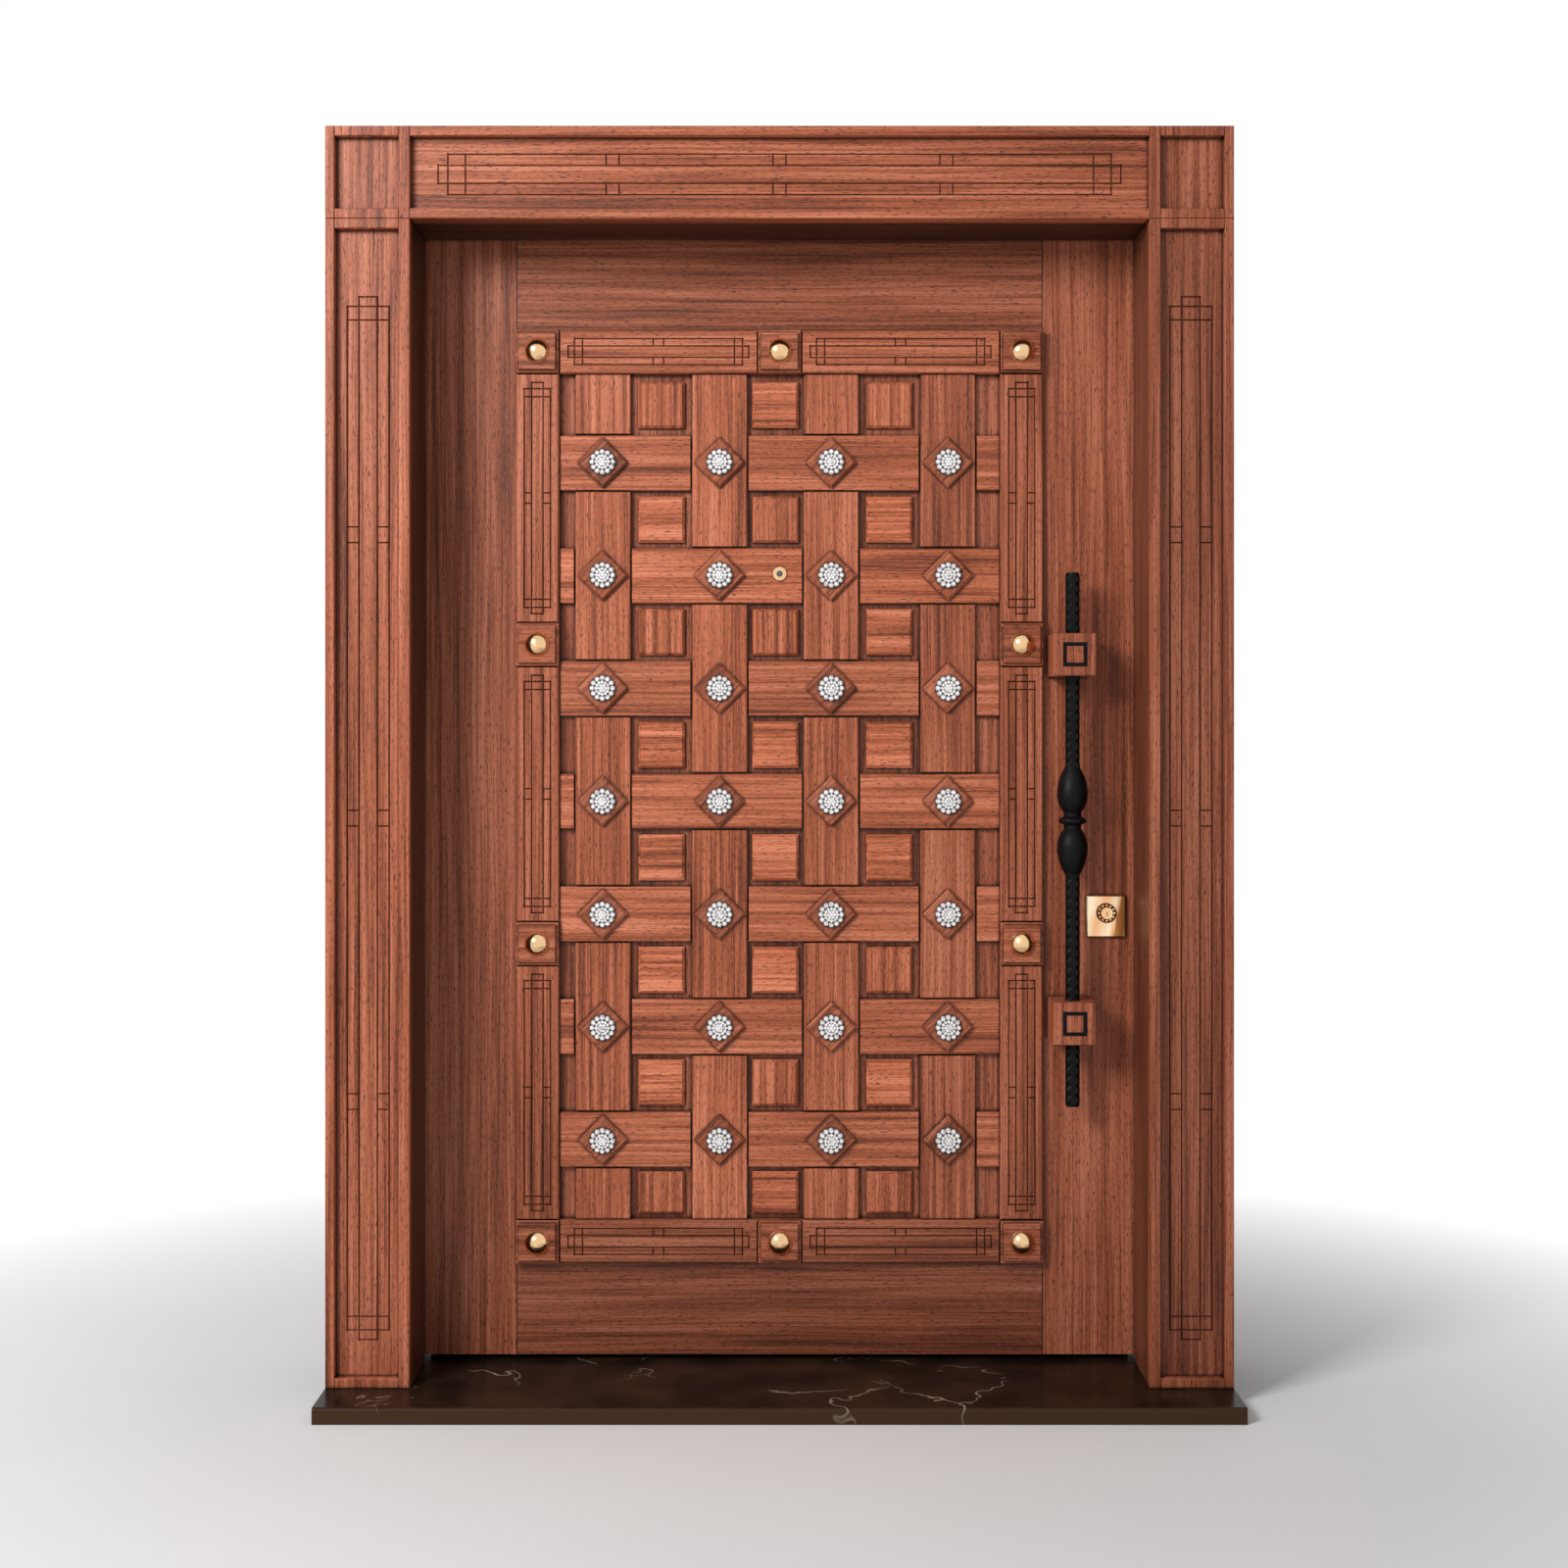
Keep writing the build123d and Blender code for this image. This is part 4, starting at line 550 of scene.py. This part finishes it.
def plainMaterial(name):
    look = plainLooks[name]
    material, start, shader, place = startMaterial(name)
    grit = place.noise(look["perMetre"], 3.0, 0.6)
    pale = tuple(part * plainGrain["pale"] for part in look["colour"])
    colour = grit.between(*noiseCore).pick(look["colour"], pale)
    relief = start.bump(grit, look["relief"], plainGrain["bumpHeight"])
    feed(shader, BaseColor=colour, Roughness=look["roughness"], Normal=relief,
         SpecularIORLevel=look.get("shine", 0.5))
    return material


# Lenses of the door viewer
glassLook = {"colour": (0.05, 0.05, 0.055), "clear": 0.03, "hazy": 0.08, "hazeScale": 200.0, "gloss": 0.02}


def glassMaterial():
    look = glassLook
    material, start, shader, place = startMaterial("lensGlass")
    haze = place.noise(look["hazeScale"], 2.0).between(*noiseSpan, look["clear"], look["hazy"])
    feed(shader, BaseColor=opaque(look["colour"]), Roughness=haze, CoatWeight=1.0,
         CoatRoughness=look["gloss"])
    return material


# Foil-backed cut stones, drawn as a painted reflection: most facets pale, a few dark
crystalLook = {
    "bright": (0.96, 0.95, 0.95),
    "dim": (0.50, 0.46, 0.46),
    "dimEdge": (0.78, 0.84),
    "facetsPerMetre": 420.0,
    "roughness": 0.10,
    "metallic": 0.10,
}


def crystalMaterial():
    look = crystalLook
    material, start, shader, place = startMaterial("cutCrystal")
    cells = {"Vector": place, "Scale": look["facetsPerMetre"]}
    facets = start.node("ShaderNodeTexVoronoi", {}, cells, "Color")
    colour = facets.axes()[0].between(*look["dimEdge"]).pick(look["bright"], look["dim"])
    feed(shader, BaseColor=colour, Roughness=look["roughness"], Metallic=look["metallic"])
    return material


finishNodes(stoneMaterial(), "threshold")
finishNodes(plainMaterial("blackRubber"), "frame_gaskets", "bottom_seal")
finishNodes(plainMaterial("mineralWool"), "leaf_core")
finishNodes(plainMaterial("blackInlay"), "pull_inlays")
finishNodes(glassMaterial(), "viewer_lens")
crystal = crystalMaterial()
finishNodes(crystal, "rosette_crystals")
print("stone, rubber and glass finished")


def linkMesh(name, mesh):
    piece = bpy.data.objects.new(name, mesh)
    bpy.context.scene.collection.objects.link(piece)
    return piece


def pointPiece(name, places):
    # a mesh of bare points, for a node tree to put things on
    mesh = bpy.data.meshes.new(name)
    mesh.from_pydata(places, [], [])
    return linkMesh(name, mesh)


def newTree(name, sizes):
    tree = bpy.data.node_groups.new(name, "GeometryNodeTree")
    tree.interface.new_socket("Geometry", in_out="INPUT", socket_type="NodeSocketGeometry")
    for key in sizes:
        tree.interface.new_socket(key, in_out="INPUT", socket_type="NodeSocketFloat")
    tree.interface.new_socket("Geometry", in_out="OUTPUT", socket_type="NodeSocketGeometry")
    entry = tree.nodes.new("NodeGroupInput")
    given = {socket.name: Wire(tree, socket) for socket in entry.outputs if socket.name}
    return tree, Wire(tree), given


def painted(start, geometry, material):
    return start.node("GeometryNodeSetMaterial", {}, {"Geometry": geometry, "Material": material})


def closeTree(start, geometry, material=None):
    real = start.node("GeometryNodeRealizeInstances", {}, {0: geometry})
    if material:
        real = painted(start, real, material)
    outlet = start.tree.nodes.new("NodeGroupOutput")
    start.tree.links.new(real.socket, outlet.inputs[0])


def runTree(piece, tree, sizes):
    # applies the tree, and leaves a plain mesh
    modifier = piece.modifiers.new("shape", "NODES")
    modifier.node_group = tree
    for item in tree.interface.items_tree:
        if item.in_out == "INPUT" and item.name in sizes:
            modifier[item.identifier] = sizes[item.name]
    depsgraph = bpy.context.evaluated_depsgraph_get()
    depsgraph.update()
    mesh = bpy.data.meshes.new_from_object(piece.evaluated_get(depsgraph))
    piece.modifiers.remove(modifier)
    old = piece.data
    piece.data = mesh
    bpy.data.meshes.remove(old)
    return piece


def onPoints(start, points, shape, turn=(0, 0, 0)):
    values = {"Points": points, "Instance": shape, "Rotation": turn}
    return start.node("GeometryNodeInstanceOnPoints", {}, values)


def circlePoints(start, count, radius):
    return start.node("GeometryNodeMeshCircle", {}, {"Vertices": count, "Radius": radius})


def moved(start, geometry, turn=(0, 0, 0), scale=(1, 1, 1)):
    return start.node("GeometryNodeTransform", {}, {"Geometry": geometry, "Rotation": turn, "Scale": scale})


def joinAll(start, parts):
    joint = start.tree.nodes.new("GeometryNodeJoinGeometry")
    for part in parts:
        start.tree.links.new(part.socket, joint.inputs[0])
    return Wire(start.tree, joint.outputs[0])


def ringsMesh(name, stacks, material=None):
    # skins each stack of rings, and closes both of its ends
    form = bmesh.new()
    for stack in stacks:
        rings = [[form.verts.new(place) for place in ring] for ring in stack]
        for low, high in zip(rings, rings[1:]):
            for index in range(len(low)):
                after = (index + 1) % len(low)
                form.faces.new((low[index], low[after], high[after], high[index]))
        form.faces.new(rings[0][::-1])
        form.faces.new(rings[-1])
    bmesh.ops.recalc_face_normals(form, faces=form.faces)
    mesh = bpy.data.meshes.new(name)
    form.to_mesh(mesh)
    form.free()
    if material:
        mesh.materials.append(material)
    return mesh


# Rosettes: rings of square-cut stones inside a rim of round ones, one cluster on each diamond
rosette = {
    "stoneRadius": 0.0042,
    "stoneTaper": 0.84,
    "stoneHeight": 0.0034,
    "stoneSides": 4,
    "ringGap": 0.0058,
    "ringCounts": (1, 6, 12),
    "rimCount": 12,
    "rimRadius": 0.0197,
    "rimStone": 0.0050,
    "rimTaper": 0.66,
    "rimSides": 8,
    "dome": 0.0030,
}
rosetteInputs = ("stoneRadius", "stoneHeight", "ringGap", "rimRadius", "rimStone", "dome")


def cutStone(start, sides, radius, height, taper):
    values = {"Vertices": sides, "Side Segments": 1, "Depth": height, "Radius Top": radius * taper,
              "Radius Bottom": radius}
    return start.node("GeometryNodeMeshCone", {}, values)


def rosetteTree(sizes):
    tree, start, given = newTree("rosetteStones", sizes)
    height = given["stoneHeight"]
    stone = cutStone(start, rosette["stoneSides"], given["stoneRadius"], height, rosette["stoneTaper"])
    rimStone = cutStone(start, rosette["rimSides"], given["rimStone"], height, rosette["rimTaper"])
    parts = []
    for ring, count in enumerate(rosette["ringCounts"]):
        if count == 1:
            points = start.node("GeometryNodeMeshLine", {}, {"Count": 1})
        else:
            points = circlePoints(start, count, given["ringGap"] * ring)
        # a ring lies lower the further out it is, and each stone is turned with its place
        lift = given["dome"] * (1 - (ring / len(rosette["ringCounts"])) ** 2)
        turned = start.joined(0.0, 0.0, start.node("GeometryNodeInputIndex") * (2 * math.pi / count))
        heads = onPoints(start, points, stone, turned)
        raised = {"Instances": heads, "Translation": start.joined(0.0, 0.0, lift)}
        parts.append(start.node("GeometryNodeTranslateInstances", {}, raised))
    rim = circlePoints(start, rosette["rimCount"], given["rimRadius"])
    parts.append(onPoints(start, rim, rimStone))
    cluster = moved(start, joinAll(start, parts), (math.pi / 2, 0, 0))
    closeTree(start, onPoints(start, given["Geometry"], cluster), crystal)
    return tree


def addRosettes():
    front = cups[0].y - rosette["stoneHeight"] / 2
    points = pointPiece("rosetteStones", [(x, front, z) for x, z in crossings])
    sizes = {key: rosette[key] for key in rosetteInputs}
    stones = runTree(points, rosetteTree(sizes), sizes)
    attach(stones, "leaf")
    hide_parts("rosette_crystals")


# Settings: a shallow dish on each diamond, whose rim has one lobe for each outer stone
setting = {
    "petals": 12,
    "sidesPerPetal": 4,
    "radius": 0.0260,
    "waist": 0.0232,
    "depth": 0.0042,
    "rimStep": 0.0012,
    "crestShare": 0.93,
    "lipShare": 0.86,
}


def lobedRing(x, y, z, share):
    turns = setting["petals"] * setting["sidesPerPetal"]
    ring = []
    for index in range(turns):
        angle = 2 * math.pi * index / turns
        lobe = 0.5 + 0.5 * math.cos(angle * setting["petals"])
        radius = share * (setting["waist"] + (setting["radius"] - setting["waist"]) * lobe)
        ring.append((x + radius * math.cos(angle), y, z + radius * math.sin(angle)))
    return ring


def addSettings():
    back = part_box("diamond_blocks")[0].y
    rimFoot = setting["depth"] - setting["rimStep"]
    crest = (setting["crestShare"], setting["depth"])
    levels = ((1.0, 0.0), (1.0, rimFoot), crest, (setting["lipShare"], rimFoot))
    stacks = [[lobedRing(x, back - height, z, share) for share, height in levels] for x, z in crossings]
    piece = linkMesh("rosetteSettings", ringsMesh("rosetteSettings", stacks, metal["darkSilver"]))
    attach(piece, "leaf")
    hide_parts("rosette_cups")


addRosettes()
addSettings()
print("rosettes built")

# Pull bar: hammered square bar whose corners are notched, with its turned bulge
bar = {
    "half": 0.013,
    "corner": 0.003,
    "notch": 0.0030,
    "notchPitch": 0.0186,
    "endShrink": 0.12,
    "turns": 32,
    "step": 0.0022,
    "sharpAngle": 28,
    "bulgeHeight": 1.068,
    "ringHalf": 0.007,
    "ringRadius": 0.026,
    "neckRadius": 0.0165,
    "neckOffset": 0.016,
    "lobeRadius": 0.029,
    "lobeOffset": 0.050,
    "endRadius": 0.0104,
    "endOffset": 0.107,
}


def lobeRadius(distance, edge, edgeRadius):
    # radius on an arc that is widest at the lobe's middle and meets its edge
    middle, widest = bar["lobeOffset"], bar["lobeRadius"]
    run = edge - middle
    fall = widest - edgeRadius
    bend = (run * run + fall * fall) / (2 * fall)
    return widest - bend + math.sqrt(max(bend * bend - (distance - middle) ** 2, 0.0))


def turnedRadius(height):
    distance = abs(height - bar["bulgeHeight"])
    if distance < bar["ringHalf"]:
        share = distance / bar["ringHalf"]
        return bar["neckRadius"] + (bar["ringRadius"] - bar["neckRadius"]) * math.sqrt(1 - share * share)
    if distance < bar["neckOffset"]:
        return bar["neckRadius"]
    if distance < bar["lobeOffset"]:
        return lobeRadius(distance, bar["neckOffset"], bar["neckRadius"])
    if distance < bar["endOffset"]:
        return lobeRadius(distance, bar["endOffset"], bar["endRadius"])
    return 0.0


def squareRadius(angle, corner):
    # distance from the bar's middle to its side, with its corners cut
    half = bar["half"]
    flat = half / max(abs(math.cos(angle)), abs(math.sin(angle)))
    cut = (2 * half - corner) / (abs(math.cos(angle)) + abs(math.sin(angle)))
    return min(flat, cut)


def barRing(low, high, height):
    middleX, middleY = (low.x + high.x) / 2, (low.y + high.y) / 2
    wave = 0.5 - 0.5 * math.cos(2 * math.pi * height / bar["notchPitch"])
    corner = bar["corner"] + 2 * bar["notch"] * wave ** 2
    nearEnd = min(height - low.z, high.z - height)
    shrink = 1.0 - bar["endShrink"] * max(0.0, 1 - nearEnd / bar["corner"])
    ring = []
    for turn in range(bar["turns"]):
        angle = 2 * math.pi * (turn + 0.5) / bar["turns"]
        radius = max(squareRadius(angle, corner) * shrink, turnedRadius(height))
        ring.append((middleX + radius * math.cos(angle), middleY + radius * math.sin(angle), height))
    return ring


def addPullBar():
    low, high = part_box("pull_bar")
    steps = round((high.z - low.z) / bar["step"])
    heights = [low.z + (high.z - low.z) * index / steps for index in range(steps + 1)]
    stack = [barRing(low, high, height) for height in heights]
    piece = linkMesh("forgedPullBar", ringsMesh("forgedPullBar", [stack], metal["forgedIron"]))
    piece.data.set_sharp_from_angle(angle=math.radians(bar["sharpAngle"]))
    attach(piece, "leaf")
    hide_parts("pull_bar")


addPullBar()
print("pull bar built")

# Crown: a ring of bright beads on a dark flattened bed, round the boss of the brass guard; the bed's dark
# colour is painted shade between the beads
crown = {
    "ring": 0.0150,
    "beads": 12,
    "bead": 0.0030,
    "beadSides": 14,
    "beadRings": 8,
    "bedWidth": 0.0038,
    "bedFlatness": 0.35,
    "bedSides": 12,
    "bedLengths": 60,
}


def circleCurve(start, lengths, radius):
    return start.node("GeometryNodeCurvePrimitiveCircle", {}, {"Resolution": lengths, "Radius": radius})


def crownTree(sizes):
    tree, start, given = newTree("guardCrown", sizes)
    path = circleCurve(start, crown["bedLengths"], given["ring"])
    section = circleCurve(start, crown["bedSides"], given["bedWidth"])
    bed = start.node("GeometryNodeCurveToMesh", {}, {"Curve": path, "Profile Curve": section})
    flatBed = moved(start, bed, scale=(1, 1, crown["bedFlatness"]))
    ball = {"Segments": crown["beadSides"], "Rings": crown["beadRings"], "Radius": given["bead"]}
    bead = start.node("GeometryNodeMeshUVSphere", {}, ball)
    smoothBead = start.node("GeometryNodeSetShadeSmooth", {}, {"Geometry": bead})
    circle = circlePoints(start, crown["beads"], given["ring"])
    beads = onPoints(start, circle, painted(start, smoothBead, metal["brassGold"]))
    whole = joinAll(start, [painted(start, flatBed, metal["paintedShadeBrass"]), beads])
    facing = moved(start, whole, (math.pi / 2, 0, 0))
    closeTree(start, onPoints(start, given["Geometry"], facing))
    return tree


def addCrown():
    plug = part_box("cylinder_plug")
    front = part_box("cylinder_escutcheon")[0].y
    place = ((plug[0].x + plug[1].x) / 2, front, (plug[0].z + plug[1].z) / 2)
    sizes = {key: crown[key] for key in ("ring", "bead", "bedWidth")}
    piece = runTree(pointPiece("guardCrown", [place]), crownTree(sizes), sizes)
    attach(piece, "leaf")


addCrown()
print("guard crown built")

# Screws: a countersunk head with a round socket, on the hinges, the faceplate and the lever plate
screw = {
    "radius": 0.0047,
    "sunk": 0.0012,
    "proud": 0.0004,
    "easedShare": 0.93,
    "socket": 0.0021,
    "socketDepth": 0.0016,
    "socketTaper": 0.92,
    "sides": 20,
    "plateInset": 0.010,
    "hingeInset": 0.060,
    "hingePitch": 0.042,
    "hingeDepth": 0.018,
    "rebateStep": 0.002,
}


def screwRing(radius, height):
    ring = []
    for index in range(screw["sides"]):
        angle = 2 * math.pi * index / screw["sides"]
        ring.append((radius * math.cos(angle), radius * math.sin(angle), height))
    return ring


def screwMesh():
    levels = (
        (screw["radius"], -screw["sunk"]),
        (screw["radius"], screw["proud"] * 0.5),
        (screw["radius"] * screw["easedShare"], screw["proud"]),
        (screw["socket"], screw["proud"]),
        (screw["socket"] * screw["socketTaper"], screw["proud"] - screw["socketDepth"]),
    )
    return ringsMesh("screwHead", [[screwRing(radius, height) for radius, height in levels]])


def screwTree(head, turn, material):
    tree, start, given = newTree("screwSet", {"size": 1.0})
    shape = start.node("GeometryNodeObjectInfo", {}, {"Object": head}, "Geometry")
    scale = start.joined(given["size"], given["size"], given["size"])
    closeTree(start, onPoints(start, given["Geometry"], moved(start, shape, turn, scale)), material)
    return tree


def plateScrews(plate, x, y):
    # one near each end of an upright plate
    return [(x, y, z) for z in (plate[0].z + screw["plateInset"], plate[1].z - screw["plateInset"])]


def addScrews():
    head = linkMesh("screwHead", screwMesh())
    towardsPlusX = (0, math.pi / 2, 0)
    towardsMinusX = (0, -math.pi / 2, 0)
    towardsRoom = (-math.pi / 2, 0, 0)
    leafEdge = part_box("inner_board")
    rebate = -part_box("strike_plate")[0].x + screw["rebateStep"]
    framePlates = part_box("hinge_frame_halves")
    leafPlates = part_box("hinge_leaf_halves")
    plateY = leafPlates[0].y + screw["hingeDepth"]
    lowest = framePlates[0].z + screw["hingeInset"]
    middle = (framePlates[0].z + leafPlates[1].z) / 2
    highest = leafPlates[1].z - screw["hingeInset"]
    hinges = (lowest, middle, highest)
    heights = [hinge + step * screw["hingePitch"] for hinge in hinges for step in (-1, 0, 1)]
    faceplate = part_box("lock_faceplate")
    faceY = (faceplate[0].y + faceplate[1].y) / 2
    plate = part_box("lever_plate")
    plateX = (plate[0].x + plate[1].x) / 2
    onFrame = [(rebate, plateY, z) for z in heights]
    onLeaf = [(leafEdge[0].x, plateY, z) for z in heights]
    onFaceplate = plateScrews(faceplate, leafEdge[1].x, faceY)
    onLeverPlate = plateScrews(plate, plateX, plate[1].y)
    sets = {
        "frameHingeScrews": ("frame", towardsPlusX, "brushedSteel", 1.0, onFrame),
        "leafHingeScrews": ("leaf", towardsMinusX, "brushedSteel", 1.0, onLeaf),
        "faceplateScrews": ("leaf", towardsPlusX, "brushedSteel", 0.9, onFaceplate),
        "leverPlateScrews": ("leaf", towardsRoom, "brassGold", 0.7, onLeverPlate),
    }
    for name, (body, turn, finish, size, places) in sets.items():
        piece = runTree(pointPiece(name, places), screwTree(head, turn, metal[finish]), {"size": size})
        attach(piece, body)
        "brass_polished" if finish == "brassGold" else "steel_hardware"
    bpy.data.objects.remove(head)


addScrews()
print("screws set")

# Pale floor that fades to white, white surroundings and one soft lamp
studio = {
    "surround": 0.36,
    "lampPlace": (-2.6, -3.3, 3.3),
    "lampAim": (0.0, 0.0, 1.15),
    "lampWidth": 1.5,
    "lampPower": 172.0,
    "floorColour": (0.86, 0.86, 0.86),
    "floorRoughness": 0.9,
    "floorReach": 8.0,
    "mottle": 0.97,
    "mottleScale": 1.5,
    "fadeMiddle": 0.3,
    "fadeEdge": (1.0, 6.0),
}


def floorMaterial():
    material, start, shader, place = startMaterial("studioFloor")
    mottle = place.noise(studio["mottleScale"], 2.0).between(*noiseSpan, studio["mottle"], 1.0)
    colour = start.joined(*[mottle * part for part in studio["floorColour"]])
    feed(shader, BaseColor=colour, Roughness=studio["floorRoughness"])
    # far from the door, the floor is white to the eye and to mirrors, but gives no light
    white = start.node("ShaderNodeEmission", {}, {"Color": (1, 1, 1, 1), "Strength": 1.0})
    seen = start.node("ShaderNodeLightPath", output="Is Camera Ray")
    glossy = start.node("ShaderNodeLightPath", output="Is Glossy Ray")
    x, y, z = place.axes()
    back = y + studio["fadeMiddle"]
    far = (x * x + back * back).between(*studio["fadeEdge"])
    share = (seen + glossy) * far
    surface = Wire(start.tree, shader.outputs[0])
    mixed = start.node("ShaderNodeMixShader", {}, {0: share, 1: surface, 2: white})
    start.tree.links.new(mixed.socket, start.tree.nodes["Material Output"].inputs["Surface"])
    return material


def addFloor():
    reach = studio["floorReach"]
    corners = [(-reach, -reach, 0), (reach, -reach, 0), (reach, reach, 0), (-reach, reach, 0)]
    mesh = bpy.data.meshes.new("studioFloor")
    mesh.from_pydata(corners, [], [(0, 1, 2, 3)])
    mesh.materials.append(floorMaterial())
    floor = linkMesh("studioFloor", mesh)


def addSurroundings():
    world = bpy.data.worlds.new("studioWorld")
    world.use_nodes = True
    bpy.context.scene.world = world
    start = Wire(world.node_tree)
    paths = [start.node("ShaderNodeLightPath", output=name)
             for name in ("Is Camera Ray", "Is Glossy Ray", "Is Transmission Ray")]
    strength = (paths[0] + paths[1] + paths[2]).between(0.0, 1.0, studio["surround"], 1.0)
    background = world.node_tree.nodes["Background"]
    background.inputs["Color"].default_value = (1, 1, 1, 1)
    world.node_tree.links.new(strength.socket, background.inputs["Strength"])


def addLamp():
    lamp = bpy.data.lights.new("keyLight", "AREA")
    lamp.energy = studio["lampPower"]
    lamp.size = studio["lampWidth"]
    key = bpy.data.objects.new("keyLight", lamp)
    key.location = studio["lampPlace"]
    aim = Vector(studio["lampAim"]) - Vector(studio["lampPlace"])
    key.rotation_euler = aim.to_track_quat("-Z", "Y").to_euler()
    bpy.context.scene.collection.objects.link(key)


addFloor()
addSurroundings()
addLamp()
bpy.context.scene.view_settings.view_transform = "Standard"
print("studio lit")
